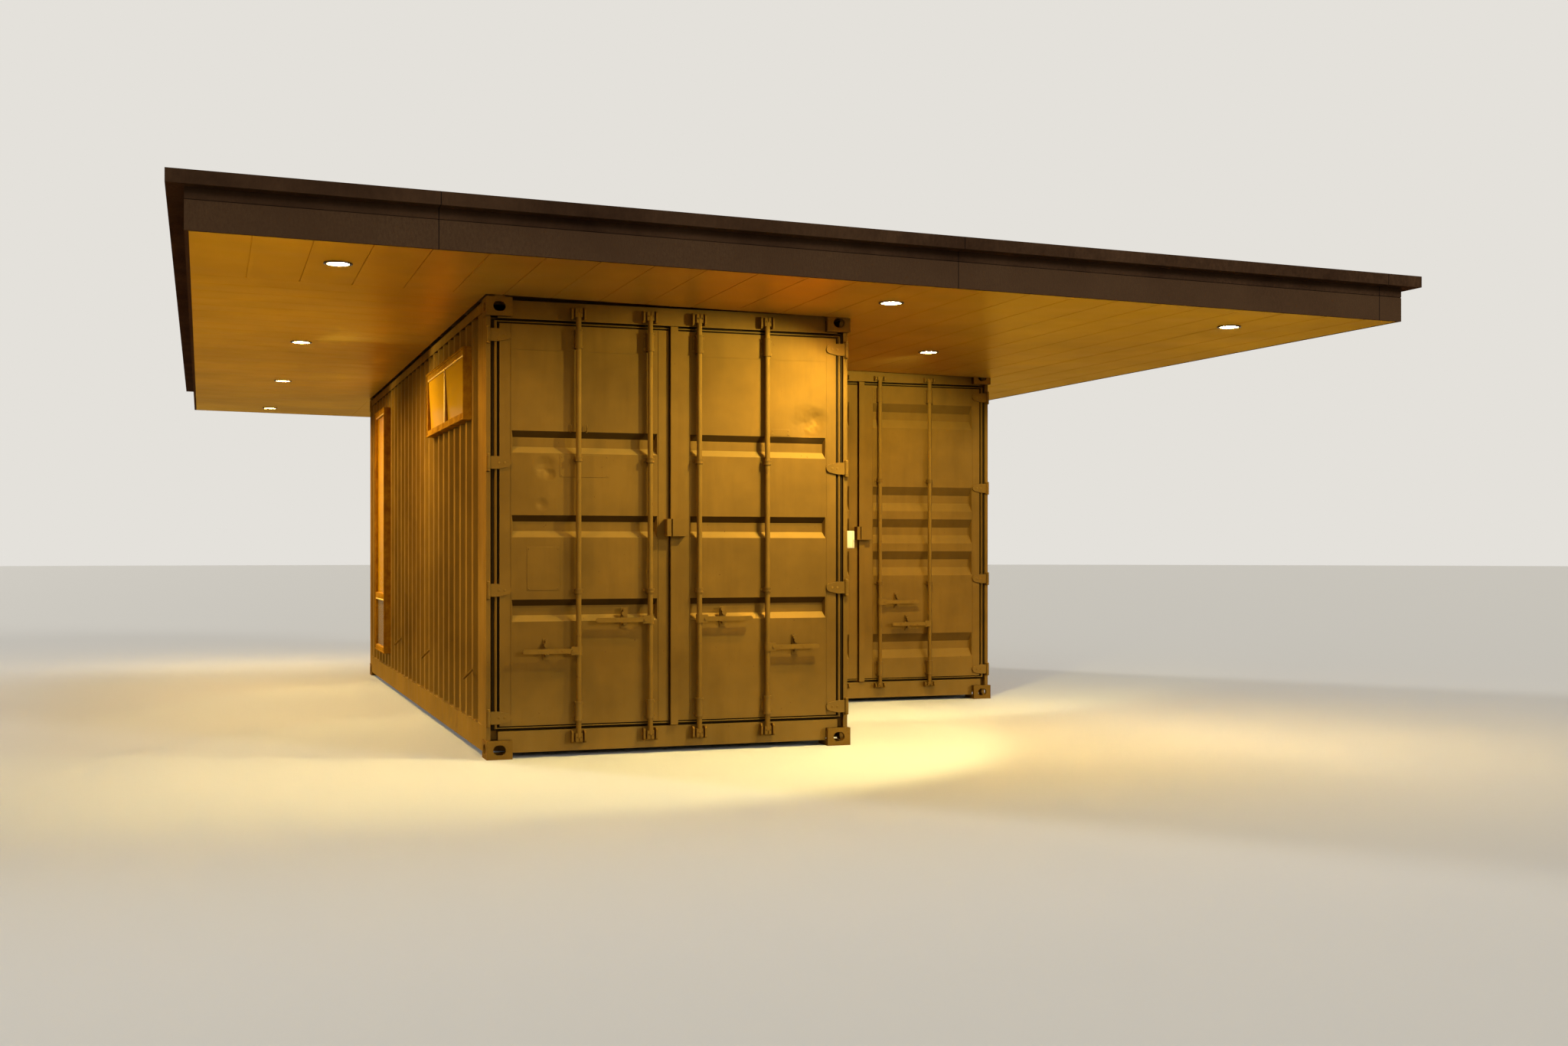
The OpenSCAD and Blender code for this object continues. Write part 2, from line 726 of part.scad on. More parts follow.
module near_corner_posts() color(container_colour) site() posts(near_l);

module far_corner_posts() color(container_colour) far_place() posts(far_l);

module near_base_rails() color(container_colour) site() base_rails(near_l);

module far_base_rails() color(container_colour) far_place() base_rails(far_l);

module near_cross_members() color(steel_colour) site() cross_members(near_l);

module far_cross_members() color(steel_colour) far_place() cross_members(far_l);

module near_floor() color("#7b5a38") site() floor_board(near_l);

module far_floor() color("#7b5a38") far_place() floor_board(far_l);

module near_top_rails() color(container_colour) site() top_rails(near_l);

module far_top_rails() color(container_colour) far_place() top_rails(far_l);

module near_roof_sheet() color(container_colour) site() roof_sheet(near_l);

module far_roof_sheet() color(container_colour) far_place() roof_sheet(far_l);

module near_left_wall() color(container_colour) site() difference() {
    side_wall(near_l);
    for (w = windows()) window_hole(w);
}

module near_right_wall() color(container_colour) site() half(1) side_wall(near_l);

module near_rear_wall() color(container_colour) site() rear_wall(near_l);

module far_left_wall() color(container_colour) far_place() side_wall(far_l);

module far_right_wall() color(container_colour) far_place() half(1) side_wall(far_l);

module far_rear_wall() color(container_colour) far_place() rear_wall(far_l);

module hinge_lugs() color(steel_colour) {
    site() both_sides() lugs();
    far_place() both_sides() lugs();
}

module cam_keepers() color(steel_colour) {
    rods = [-outer_rod, -inner_rod, inner_rod, outer_rod];
    site() keepers(rods, near_rise);
    far_place() keepers(rods, far_rise);
}

near_bands = [for (k = [-1 : 1]) door_mid_z - near_band_drop + k * near_band_pitch];
far_bands = concat([door_low + far_band_bottom, door_high - far_band_top],
    [for (k = [-1 : 1]) door_mid_z + far_band_rise + k * far_band_pitch]);

// Lower edges and heights of the rod guides: long sleeves at the ends, short guides between the bands
sleeve_h = 120;
guide_h = 30;
near_guide = near_band_pitch - near_band_h / 2 - guide_h - 28;
far_guide = far_band_pitch + far_band_h / 2 + 44;
function guide_list(reach) = [[door_low + 50, sleeve_h], [door_mid_z - reach - guide_h, guide_h],
    [door_mid_z + reach, guide_h], [door_high - 50 - sleeve_h, sleeve_h]];

left_end = meeting_x - meeting_gap / 2;
right_end = container_w - meeting_x - meeting_gap / 2;

module near_left_door() color(container_colour) site() {
    near_leaf(left_end);
    lock_box(left_end - lock_left, left_end, false, true);
}

module near_right_door() color(container_colour) site() {
    half(1) near_leaf(right_end);
    astragal();
}

module far_left_door() color(container_colour) far_place() {
    leaf(left_end, far_bands, far_band_h, far_band_slope, guide_list(far_guide), 1);
    lock_box(left_end - lock_left, left_end, false, true);
}

module far_right_door() color(container_colour) far_place() {
    half(1) leaf(right_end, far_bands, far_band_h, far_band_slope, guide_list(far_guide), 1);
    astragal();
}

module near_left_outer_rod() color(steel_colour) site()
    lock_rod(outer_rod, outer_handle_z, -1, near_rise);

module near_left_inner_rod() color(steel_colour) site()
    lock_rod(inner_rod, inner_handle_z, -1, near_rise);

module near_right_inner_rod() color(steel_colour) site() half(1)
    lock_rod(inner_rod, inner_handle_z, -1, near_rise);

module near_right_outer_rod() color(steel_colour) site() half(1)
    lock_rod(outer_rod, outer_handle_z, -1, near_rise);

module far_left_rods() color(steel_colour) far_place() {
    lock_rod(outer_rod, outer_handle_z, 1, far_rise);
    lock_rod(inner_rod, inner_handle_z, -1, far_rise);
}

module far_right_inner_rod() color(steel_colour) far_place() half(1)
    lock_rod(inner_rod, inner_handle_z, -1, far_rise);

module far_right_outer_rod() color(steel_colour) far_place() half(1)
    lock_rod(outer_rod, outer_handle_z, 1, far_rise);

module near_lock_box() color(container_colour) site() right_lock_box();

module far_lock_box() color(container_colour) far_place() right_lock_box();

// The lock box's larger half, round the astragal on the right door
module right_lock_box() {
    low_x = meeting_x + meeting_gap / 2;
    difference() {
        lock_box(low_x, low_x + lock_right, true, false);
        block([low_x - over, door_face - astragal_t - seat, lock_z - over],
            [low_x + astragal_w + seat, door_face + over, lock_z + lock_h + over]);
    }
}

// Windows in the near container's left wall: place along the wall, sill, width, height, bars
function windows() = [
    [high_y, container_h - high_drop, high_w, high_h, [[high_w / 2 - window_bar / 2, 0]]],
    [tall_y, tall_z, tall_w, container_h - tall_drop - tall_z, [[0, tall_transom]]]
];

module window_hole(w)
    block([-window_proud, w[0], w[1]] - [over, 0, 0],
        [wall_high_x + 10, w[0] + w[2], w[1] + w[3]]);

module window_frames() color(window_colour) site() for (w = windows()) {
    low = [-window_proud, w[0] + seat, w[1] + seat];
    high = [wall_high_x + 10, w[0] + w[2] - seat, w[1] + w[3] - seat];
    difference() {
        block(low, high);
        block(low + [-over, window_bar, window_bar], high + [over, -window_bar, -window_bar]);
    }
    for (bar = w[4])
        if (bar[0] > 0) block([0, w[0] + bar[0], w[1] + window_bar], [wall_high_x, w[0] + bar[0] + window_bar,
            w[1] + w[3] - window_bar]);
        else block([0, w[0] + window_bar, w[1] + bar[1]], [wall_high_x, w[0] + w[2] - window_bar,
            w[1] + bar[1] + window_bar]);
}

module window_panes() color([0.6, 0.7, 0.7, 0.4]) site() for (w = windows(), bar = w[4]) {
    low = [w[0] + window_bar + seat, w[1] + window_bar + seat];
    high = [w[0] + w[2] - window_bar - seat, w[1] + w[3] - window_bar - seat];
    if (bar[0] > 0) {
        pane([low[0], low[1]], [w[0] + bar[0] - seat, high[1]]);
        pane([w[0] + bar[0] + window_bar + seat, low[1]], [high[0], high[1]]);
    } else {
        pane([low[0], low[1]], [high[0], w[1] + bar[1] - seat]);
        pane([low[0], w[1] + bar[1] + window_bar + seat], [high[0], high[1]]);
    }
}

module pane(low, high)
    block([wall_inset, low[0], low[1]], [wall_inset + glass_t, high[0], high[1]]);

module outlet_box() color("#e6e2d8") site()
    block([container_w - frame_inset, outlet_y, outlet_z],
        [container_w + outlet_depth, outlet_y + outlet_size[0], outlet_z + outlet_size[1]]);

// Place along the near container's side of a corrugation's crest
function crest_y(i) = post_back + wave_start(near_l - 2 * post_back, wall_pitch, wall_crest) + i * wall_pitch
    + wall_crest / 2;

module wall_pegs() color(steel_colour) site()
    for (i = [1, 9, 16]) difference() {
        translate([wall_inset, crest_y(i), peg_z]) rotate([0, -135, 0]) translate([0, 0, -peg_r])
            cylinder(r = peg_r, h = peg_l + peg_r);
        block([wall_inset, crest_y(i) - 2 * peg_r, peg_z - peg_l], [wall_inset + peg_l, crest_y(i) + 2 * peg_r,
            peg_z + peg_l]);
    }

module roof_bearers() color(steel_colour) {
    site() both_sides() block([casting_w / 2 - bearer_w / 2, 0, container_h],
        [casting_w / 2 + bearer_w / 2, near_l, container_h + bearer_h]);
    far_place() both_sides() block([casting_w / 2 - bearer_w / 2, 0, container_h],
        [casting_w / 2 + bearer_w / 2, far_l, container_h + bearer_h]);
}

module roof_joists() color("#8c6a45") site() {
    first = roof_y0 + fascia_t;
    last = roof_y1 - fascia_t - joist_t;
    count = round((last - first) / joist_pitch);
    for (i = [0 : count]) {
        y = first + i * (last - first) / count;
        difference() {
            roof_slab(roof_x0 + fascia_t, roof_x1 - fascia_t, y, y + joist_t, soffit_t + seat,
                deck_low - seat);
            container_space(0, 0, near_l, soffit_gap + soffit_t, container_h + bearer_h);
            container_space(far_x, far_setback, far_l, soffit_gap + soffit_t, container_h + bearer_h);
        }
    }
}

module roof_deck() color("#5c5348") site()
    roof_slab(roof_x0 + fascia_t, roof_x1 - fascia_t, roof_y0 + fascia_t, roof_y1 - fascia_t,
        deck_low, deck_low + deck_t);

module soffit() color(soffit_colour) site() {
    inner_x0 = roof_x0 + fascia_t;
    inner_x1 = roof_x1 - fascia_t;
    inner_y0 = roof_y0 + fascia_t;
    inner_y1 = roof_y1 - fascia_t;
    near_end = container_w + soffit_gap;
    far_end = far_x + container_w + soffit_gap;
    gap = soffit_gap / 2;
    soffit_field(inner_x0, near_end - gap, inner_y0, -soffit_gap, true);
    soffit_field(near_end, far_end - gap, inner_y0, far_setback - soffit_gap, true);
    soffit_field(far_end, inner_x1, inner_y0, inner_y1, true);
    soffit_field(inner_x0, -soffit_gap, -soffit_gap + gap, inner_y1, false);
    soffit_field(-soffit_gap + gap, near_end - gap, near_l + soffit_gap, inner_y1, false);
    soffit_field(near_end, far_end - gap, far_setback + far_l + soffit_gap, inner_y1, false);
}

// One fascia board with its groove, drawn between two corners in plan
module fascia_board(x0, x1, y0, y1, groove_x0, groove_x1, groove_y0, groove_y1) {
    groove = 5;
    difference() {
        roof_slab(x0, x1, y0, y1, 0, cap_top - cap_t - seat);
        roof_slab(groove_x0, groove_x1, groove_y0, groove_y1, groove_z, groove_z + groove);
    }
}

module fascia() color(bronze_colour) site() {
    cut = 6;
    fascia_board(roof_x0, roof_x1, roof_y0, roof_y0 + fascia_t - seat,
        roof_x0 - over, roof_x1 + over, roof_y0 - over, roof_y0 + cut);
    fascia_board(roof_x0, roof_x1, roof_y1 - fascia_t + seat, roof_y1,
        roof_x0 - over, roof_x1 + over, roof_y1 - cut, roof_y1 + over);
    fascia_board(roof_x0, roof_x0 + fascia_t - seat, roof_y0 + fascia_t, roof_y1 - fascia_t,
        roof_x0 - over, roof_x0 + cut, roof_y0, roof_y1);
    fascia_board(roof_x1 - fascia_t + seat, roof_x1, roof_y0 + fascia_t, roof_y1 - fascia_t,
        roof_x1 - cut, roof_x1 + over, roof_y0, roof_y1);
}

// Folded cap along all four edges: top flange, face and bottom return
module roof_cap() color(bronze_colour) site() {
    low = cap_top - cap_h;
    flange = 120;
    difference() {
        roof_slab(roof_x0 - cap_out, roof_x1 + cap_out, roof_y0 - cap_out, roof_y1 + cap_out, low, cap_top);
        roof_slab(roof_x0 - cap_out + cap_t, roof_x1 + cap_out - cap_t, roof_y0 - cap_out + cap_t,
            roof_y1 + cap_out - cap_t, low + cap_t, cap_top - cap_t);
        roof_slab(roof_x0 + flange, roof_x1 - flange, roof_y0 + flange, roof_y1 - flange, low, cap_top + over);
        roof_slab(roof_x0 - seat, roof_x1 + seat, roof_y0 - seat, roof_y1 + seat, low - over, low + cap_t + over);
        // joints between the front, back and side lengths
        for (y = [roof_y0 + flange, roof_y1 - flange - seat])
            roof_slab(roof_x0 - cap_out - over, roof_x1 + cap_out + over, y, y + seat, low - over, cap_top + over);
    }
}

// Sizes of a downlight: its ring, its shallow can under the joists and its lens
trim_t = 4;
trim_w = 14;
can_drop = 2;
can_top = soffit_t - can_drop;
can_wall = 4;
can_lid = 3;
lens_t = 8;
can_r = light_r - trim_w;

// Ring and shallow can of each downlight; play is the soffit's fall over the ring's radius
module downlight_trims() color("#3b2f26") site() for (p = light_places())
    translate([p[0], p[1], under(p[0])]) let (play = light_r * roof_fall / 1000 + seat / 3) difference() {
        union() {
            translate([0, 0, -trim_t - play]) cylinder(r = light_r, h = trim_t);
            translate([0, 0, -trim_t - play]) cylinder(r = can_r, h = trim_t + play + can_top);
        }
        translate([0, 0, -trim_t - play - over])
            cylinder(r = can_r - can_wall, h = over + trim_t + play + can_top - can_lid);
    }

module downlight_lenses() color("#fff1d0") site() for (p = light_places())
    translate([p[0], p[1], under(p[0]) + can_top - can_lid - lens_t - seat])
        cylinder(r = can_r - can_wall - seat, h = lens_t);

corner_castings();
near_corner_posts();
far_corner_posts();
near_base_rails();
far_base_rails();
near_cross_members();
far_cross_members();
near_floor();
far_floor();
near_top_rails();
far_top_rails();
near_roof_sheet();
far_roof_sheet();
near_left_wall();
near_right_wall();
near_rear_wall();
far_left_wall();
far_right_wall();
far_rear_wall();
hinge_lugs();
cam_keepers();
near_left_door();
near_right_door();
far_left_door();
far_right_door();
near_left_outer_rod();
near_left_inner_rod();
near_right_inner_rod();
near_right_outer_rod();
far_left_rods();
far_right_inner_rod();
far_right_outer_rod();
near_lock_box();
far_lock_box();
window_frames();
window_panes();
outlet_box();
wall_pegs();
roof_bearers();
roof_joists();
roof_deck();
soffit();
fascia();
roof_cap();
downlight_trims();
downlight_lenses();
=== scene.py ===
"""Dresses the container cabin: finishes, door seals, fasteners, windows, fittings, lights and studio.

Lengths are metres in the part's own frame: +X to the right, +Y to the back, +Z up, zero on the ground plane.
"""
from __future__ import annotations

import json
import logging
import math
import random
from dataclasses import dataclass
from enum import Enum
from typing import Sequence

import bmesh
import bpy
from bmesh.types import BMFace
from bpy.types import Material, Node, NodeSocket, NodeTree, Object
from mathutils import Matrix, Vector


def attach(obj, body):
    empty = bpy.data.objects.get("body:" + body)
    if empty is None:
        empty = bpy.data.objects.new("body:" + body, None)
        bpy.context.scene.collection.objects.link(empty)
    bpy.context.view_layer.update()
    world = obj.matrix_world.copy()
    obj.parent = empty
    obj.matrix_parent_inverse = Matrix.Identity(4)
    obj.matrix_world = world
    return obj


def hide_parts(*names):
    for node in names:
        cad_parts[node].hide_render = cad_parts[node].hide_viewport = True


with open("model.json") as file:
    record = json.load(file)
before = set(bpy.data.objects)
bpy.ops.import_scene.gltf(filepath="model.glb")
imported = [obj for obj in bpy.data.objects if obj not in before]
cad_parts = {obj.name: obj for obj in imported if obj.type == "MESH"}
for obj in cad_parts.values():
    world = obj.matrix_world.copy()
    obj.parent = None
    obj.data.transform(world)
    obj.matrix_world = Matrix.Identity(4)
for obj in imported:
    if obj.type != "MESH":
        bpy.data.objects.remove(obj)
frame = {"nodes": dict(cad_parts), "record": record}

LOG = logging.getLogger("cabin")
SMOOTH_ANGLE = math.radians(38.0)
# sizes that several classes share, on a container behind its castings' faces and above the ground
CONTAINER_WIDTH = 2.438
DOOR_FACE = 0.045
DOOR_LOW = 0.178
DOOR_HIGH = 2.762
WALL_FACE = 0.009
# the hinge pins' middle, where the front of the hinge blades lies too
PIN_X = 0.015
PIN_Y = 0.032
LOW_HINGE = 0.259
HIGH_HINGE = 2.661
HINGE_STEP = (HIGH_HINGE - LOW_HINGE) / 3.0
HINGE_LEVELS = tuple(LOW_HINGE + k * HINGE_STEP for k in range(4))
# the soffit's height at the near container's left side, and its fall to the right in metres a metre
SOFFIT_LOW = 2.906
ROOF_FALL = 0.0147


class Slot(Enum):
    """The record's material slots."""

    CONTAINER_PAINT = "container_paint"
    FITTING_STEEL = "fitting_steel"
    FLOOR_PLYWOOD = "floor_plywood"
    WINDOW_PAINT = "window_paint"
    WINDOW_GLASS = "window_glass"
    WHITE_PLASTIC = "white_plastic"
    TIMBER = "timber"
    ROOF_MEMBRANE = "roof_membrane"
    SOFFIT_METAL = "soffit_metal"
    FASCIA_METAL = "fascia_metal"
    LIGHT_TRIM = "light_trim"
    LIGHT_LENS = "light_lens"


def linear(code: str) -> tuple[float, float, float, float]:
    """Turns an sRGB hex colour into linear values.

    Args:
        code: A colour such as "#8f6f40".

    Returns:
        Red, green, blue and an alpha of 1.
    """
    parts = [int(code[i:i + 2], 16) / 255.0 for i in (1, 3, 5)]
    red, green, blue = (p / 12.92 if p <= 0.04045 else ((p + 0.055) / 1.055) ** 2.4 for p in parts)
    return red, green, blue, 1.0


def add_node(tree: NodeTree, kind: str, settings: dict | None = None, inputs: dict | None = None) -> Node:
    """Adds a node, sets its options and fills or links its inputs.

    Args:
        tree: The node tree.
        kind: The node's Blender type.
        settings: Options by attribute name.
        inputs: Values or output sockets by input name or index.

    Returns:
        The node.
    """
    node = tree.nodes.new(kind)
    for name, value in (settings or {}).items():
        setattr(node, name, value)
    for key, value in (inputs or {}).items():
        if isinstance(value, NodeSocket):
            tree.links.new(value, node.inputs[key])
        else:
            node.inputs[key].default_value = value
    return node


def own_sheen(shader: Node, share: float, tint: str) -> None:
    """Lets a dusty coat shine in its own colour, also at a low angle, where a clear coat would turn white.

    Args:
        shader: The Principled shader.
        share: How much of the coat shines.
        tint: The sheen's colour at a low angle.
    """
    shader.inputs["Specular IOR Level"].default_value = 0.0
    shader.inputs["Metallic"].default_value = share
    shader.inputs["Specular Tint"].default_value = linear(tint)


def two_tones(tree: NodeTree, shader: Node, pattern: dict, one: str, two: str) -> NodeSocket:
    """Colours a coat that drifts between two tones.

    Args:
        tree: The material's node tree.
        shader: Its Principled shader.
        pattern: The inputs of the noise that it drifts by, with the place on the object.
        one: The colour where the noise is low.
        two: The colour where the noise is high.

    Returns:
        The noise.
    """
    drift = add_node(tree, "ShaderNodeTexNoise", None, pattern).outputs["Fac"]
    coat = add_node(tree, "ShaderNodeMix", {"data_type": "RGBA"},
                    {0: drift, 6: linear(one), 7: linear(two)}).outputs[2]
    tree.links.new(coat, shader.inputs["Base Color"])
    return drift


def lay_over(tree: NodeTree, coat: NodeSocket | tuple, colour: str, pattern: NodeSocket, bare: float,
             full: float, most: float = 1.0) -> NodeSocket:
    """Lays a second colour, such as dust or rust, over a coat where a pattern passes a level.

    Args:
        tree: The material's node tree.
        coat: The colour below.
        colour: The colour that lies over it.
        pattern: The value that it follows.
        bare: The pattern's value where the layer starts.
        full: The pattern's value where it is thickest.
        most: The share of the coat that it hides there.

    Returns:
        The colour of both.
    """
    share = add_node(tree, "ShaderNodeMapRange", None,
                     {"Value": pattern, "From Min": bare, "From Max": full, "To Max": most}).outputs["Result"]
    return add_node(tree, "ShaderNodeMix", {"data_type": "RGBA"},
                    {0: share, 6: coat, 7: linear(colour)}).outputs[2]


def raise_skin(tree: NodeTree, shader: Node, pattern: NodeSocket, depth: float) -> None:
    """Raises a surface's fine relief by a pattern.

    Args:
        tree: The material's node tree.
        shader: Its Principled shader.
        pattern: The pattern, from 0 to 1.
        depth: The relief's depth in metres.
    """
    relief = add_node(tree, "ShaderNodeMath", {"operation": "MULTIPLY"}, {0: pattern, 1: depth}).outputs[0]
    bump = add_node(tree, "ShaderNodeBump", None, {"Height": relief, "Strength": 1.0, "Distance": 1.0})
    tree.links.new(bump.outputs["Normal"], shader.inputs["Normal"])


class Finish:
    """A finish that builds its material once."""

    name: str = ""

    def build(self, tree: NodeTree, shader: Node, where: NodeSocket) -> None:
        """Adds the finish's nodes.

        Args:
            tree: The material's node tree.
            shader: Its Principled shader.
            where: The place on the object, in the part's own metres.
        """
        raise NotImplementedError

    def material(self) -> Material:
        """Gives the finish's material, and makes it at the first call.

        Returns:
            The material.
        """
        found = bpy.data.materials.get(self.name)
        if found:
            return found
        made = bpy.data.materials.new(self.name)
        made.use_nodes = True
        tree = made.node_tree
        shader = tree.nodes["Principled BSDF"]
        where = add_node(tree, "ShaderNodeTexCoord").outputs["Object"]
        self.build(tree, shader, where)
        return made


@dataclass(frozen=True)
class Dent:
    """A shallow dent in a sheet: its middle, radius and depth in metres."""

    middle: tuple[float, float, float]
    radius: float
    depth: float


@dataclass(frozen=True)
class SprayedPaint(Finish):
    """Satin alkyd paint sprayed over old container steel, castings and seals alike.

    The eye sees one golden brown coat with a soft cloud, faint rain marks, dust on ledges that is also a
    painted highlight, painted shade under them and a few rust specks.
    """

    name: str = "alkyd_paint_sprayed_golden_brown"
    body: str = "#835e22"
    shade: str = "#6d4e1c"
    streak: str = "#543c17"
    # dust, also laid on faces that look up as a painted highlight of lit ledges
    dust: str = "#a9843c"
    # painted shade, laid on faces that look down
    underside_shade: str = "#2b1d0b"
    rust: str = "#5b3418"
    rust_share: float = 0.7
    rough: float = 0.43
    sheen: float = 0.22
    sheen_tint: str = "#e0b264"
    wave_depth: float = 0.004
    peel_depth: float = 0.00012
    crumple: float = 1.6
    dents: tuple[Dent, ...] = ()

    def build(self, tree: NodeTree, shader: Node, where: NodeSocket) -> None:
        """Adds the paint's colour, gloss and relief.

        Args:
            tree: The material's node tree.
            shader: Its Principled shader.
            where: The place on the object.
        """
        # rain marks about 120 mm wide and a metre long
        drawn = add_node(tree, "ShaderNodeMapping", None, {"Vector": where, "Scale": (8.0, 8.0, 1.0)})
        rain = add_node(tree, "ShaderNodeTexNoise", None,
                        {"Vector": drawn.outputs["Vector"], "Scale": 1.0, "Detail": 5.0,
                         "Roughness": 0.6}).outputs["Fac"]
        tree.links.new(self.colour(tree, where, rain), shader.inputs["Base Color"])
        gloss = add_node(tree, "ShaderNodeMapRange", None,
                         {"Value": rain, "From Min": 0.3, "From Max": 0.7, "To Min": self.rough - 0.06,
                          "To Max": self.rough + 0.1}).outputs["Result"]
        tree.links.new(gloss, shader.inputs["Roughness"])
        own_sheen(shader, self.sheen, self.sheen_tint)
        bump = add_node(tree, "ShaderNodeBump", None,
                        {"Height": self.relief(tree, where), "Strength": 1.0, "Distance": 1.0})
        tree.links.new(bump.outputs["Normal"], shader.inputs["Normal"])

    def colour(self, tree: NodeTree, where: NodeSocket, rain: NodeSocket) -> NodeSocket:
        """Adds the coat's colour with its dirt and rust.

        Args:
            tree: The material's node tree.
            where: The place on the object.
            rain: The pattern of the rain marks.

        Returns:
            The colour.
        """
        # cloudy tone over about 700 mm, from uneven spray passes
        cloud = add_node(tree, "ShaderNodeTexNoise", None,
                         {"Vector": where, "Scale": 1.4, "Detail": 4.0, "Roughness": 0.6}).outputs["Fac"]
        coat = lay_over(tree, linear(self.body), self.shade, cloud, 0.36, 0.66)
        coat = lay_over(tree, coat, self.streak, rain, 0.48, 0.8, 0.3)
        # dust on ledges, lighter also as a painted highlight of their lit tops, and painted shade on the
        # undersides of bands and rails
        facing = add_node(tree, "ShaderNodeNewGeometry").outputs["Normal"]
        upward = add_node(tree, "ShaderNodeSeparateXYZ", None, {"Vector": facing}).outputs["Z"]
        coat = lay_over(tree, coat, self.dust, upward, 0.3, 0.7, 0.6)
        coat = lay_over(tree, coat, self.underside_shade, upward, -0.25, -0.62, 0.8)
        # dust thrown up from the ground, thickest over the lowest 300 mm
        height = add_node(tree, "ShaderNodeSeparateXYZ", None, {"Vector": where}).outputs["Z"]
        low = add_node(tree, "ShaderNodeMapRange", None,
                       {"Value": height, "From Min": 0.05, "From Max": 0.6, "To Min": 0.55,
                        "To Max": 0.0}).outputs["Result"]
        patchy = add_node(tree, "ShaderNodeMath", {"operation": "MULTIPLY"}, {0: low, 1: rain}).outputs[0]
        coat = add_node(tree, "ShaderNodeMix", {"data_type": "RGBA"},
                        {0: patchy, 6: coat, 7: linear(self.dust)}).outputs[2]
        # rust specks of 5 to 15 mm where the coat is chipped
        chips = add_node(tree, "ShaderNodeTexNoise", None,
                         {"Vector": where, "Scale": 42.0, "Detail": 3.0, "Roughness": 0.65}).outputs["Fac"]
        return lay_over(tree, coat, self.rust, chips, self.rust_share, self.rust_share + 0.04, 0.85)

    def relief(self, tree: NodeTree, where: NodeSocket) -> NodeSocket:
        """Adds the sheet's waves, the orange peel and the dents.

        Args:
            tree: The material's node tree.
            where: The place on the object.

        Returns:
            The height of the surface in metres.
        """
        # sheets that wave over 300 mm, and orange peel drawn at 8 mm, coarser than real so that it shows
        wave = add_node(tree, "ShaderNodeTexNoise", None,
                        {"Vector": where, "Scale": 3.2, "Detail": 2.0}).outputs["Fac"]
        peel = add_node(tree, "ShaderNodeTexNoise", None,
                        {"Vector": where, "Scale": 120.0, "Detail": 2.0}).outputs["Fac"]
        relief = add_node(tree, "ShaderNodeMath", {"operation": "MULTIPLY"},
                          {0: wave, 1: self.wave_depth}).outputs[0]
        relief = add_node(tree, "ShaderNodeMath", {"operation": "MULTIPLY_ADD"},
                          {0: peel, 1: self.peel_depth, 2: relief}).outputs[0]
        creases = add_node(tree, "ShaderNodeTexNoise", None,
                           {"Vector": where, "Scale": 16.0, "Detail": 1.0}).outputs["Fac"]
        for dent in self.dents:
            away = add_node(tree, "ShaderNodeVectorMath", {"operation": "DISTANCE"},
                            {0: where, 1: dent.middle}).outputs["Value"]
            dip = add_node(tree, "ShaderNodeMapRange", {"interpolation_type": "SMOOTHSTEP"},
                           {"Value": away, "From Max": dent.radius, "To Min": -dent.depth,
                            "To Max": 0.0}).outputs["Result"]
            relief = add_node(tree, "ShaderNodeMath", {"operation": "ADD"}, {0: relief, 1: dip}).outputs[0]
            # the sheet crumples over about 60 mm inside a dent
            crumple = add_node(tree, "ShaderNodeMath", {"operation": "MULTIPLY"},
                               {0: dip, 1: creases}).outputs[0]
            relief = add_node(tree, "ShaderNodeMath", {"operation": "MULTIPLY_ADD"},
                              {0: crumple, 1: self.crumple, 2: relief}).outputs[0]
        return relief


@dataclass(frozen=True)
class WornSteel(Finish):
    """The same paint on forged and cast steel, thin and rusted through at the handled edges.

    The eye sees a darker coat with soft rust-brown patches and a rough cast skin.
    """

    name: str = "alkyd_paint_on_cast_steel"
    body: str = "#8f6724"
    shade: str = "#6e4f1c"
    rust: str = "#5f3115"
    sheen: float = 0.22
    sheen_tint: str = "#c69642"
    skin: float = 0.0006

    def build(self, tree: NodeTree, shader: Node, where: NodeSocket) -> None:
        """Adds the worn coat and the cast skin.

        Args:
            tree: The material's node tree.
            shader: Its Principled shader.
            where: The place on the object.
        """
        # tone that drifts over 140 mm
        cloud = add_node(tree, "ShaderNodeTexNoise", None,
                         {"Vector": where, "Scale": 7.0, "Detail": 5.0, "Roughness": 0.6}).outputs["Fac"]
        coat = add_node(tree, "ShaderNodeMix", {"data_type": "RGBA"},
                        {0: cloud, 6: linear(self.body), 7: linear(self.shade)}).outputs[2]
        # rust patches of 20 to 60 mm, duller than the paint
        patch = add_node(tree, "ShaderNodeTexNoise", None,
                         {"Vector": where, "Scale": 19.0, "Detail": 6.0, "Roughness": 0.7}).outputs["Fac"]
        worn = add_node(tree, "ShaderNodeMapRange", None,
                        {"Value": patch, "From Min": 0.6, "From Max": 0.7, "To Max": 0.45}).outputs["Result"]
        coat = add_node(tree, "ShaderNodeMix", {"data_type": "RGBA"},
                        {0: worn, 6: coat, 7: linear(self.rust)}).outputs[2]
        tree.links.new(coat, shader.inputs["Base Color"])
        gloss = add_node(tree, "ShaderNodeMapRange", None,
                         {"Value": worn, "To Min": 0.33, "To Max": 0.8}).outputs["Result"]
        tree.links.new(gloss, shader.inputs["Roughness"])
        own_sheen(shader, self.sheen, self.sheen_tint)
        # casting sand leaves a grit of 1 mm, drawn at 7 mm so that it shows
        grit = add_node(tree, "ShaderNodeTexNoise", None,
                        {"Vector": where, "Scale": 150.0, "Detail": 3.0}).outputs["Fac"]
        raise_skin(tree, shader, grit, self.skin)


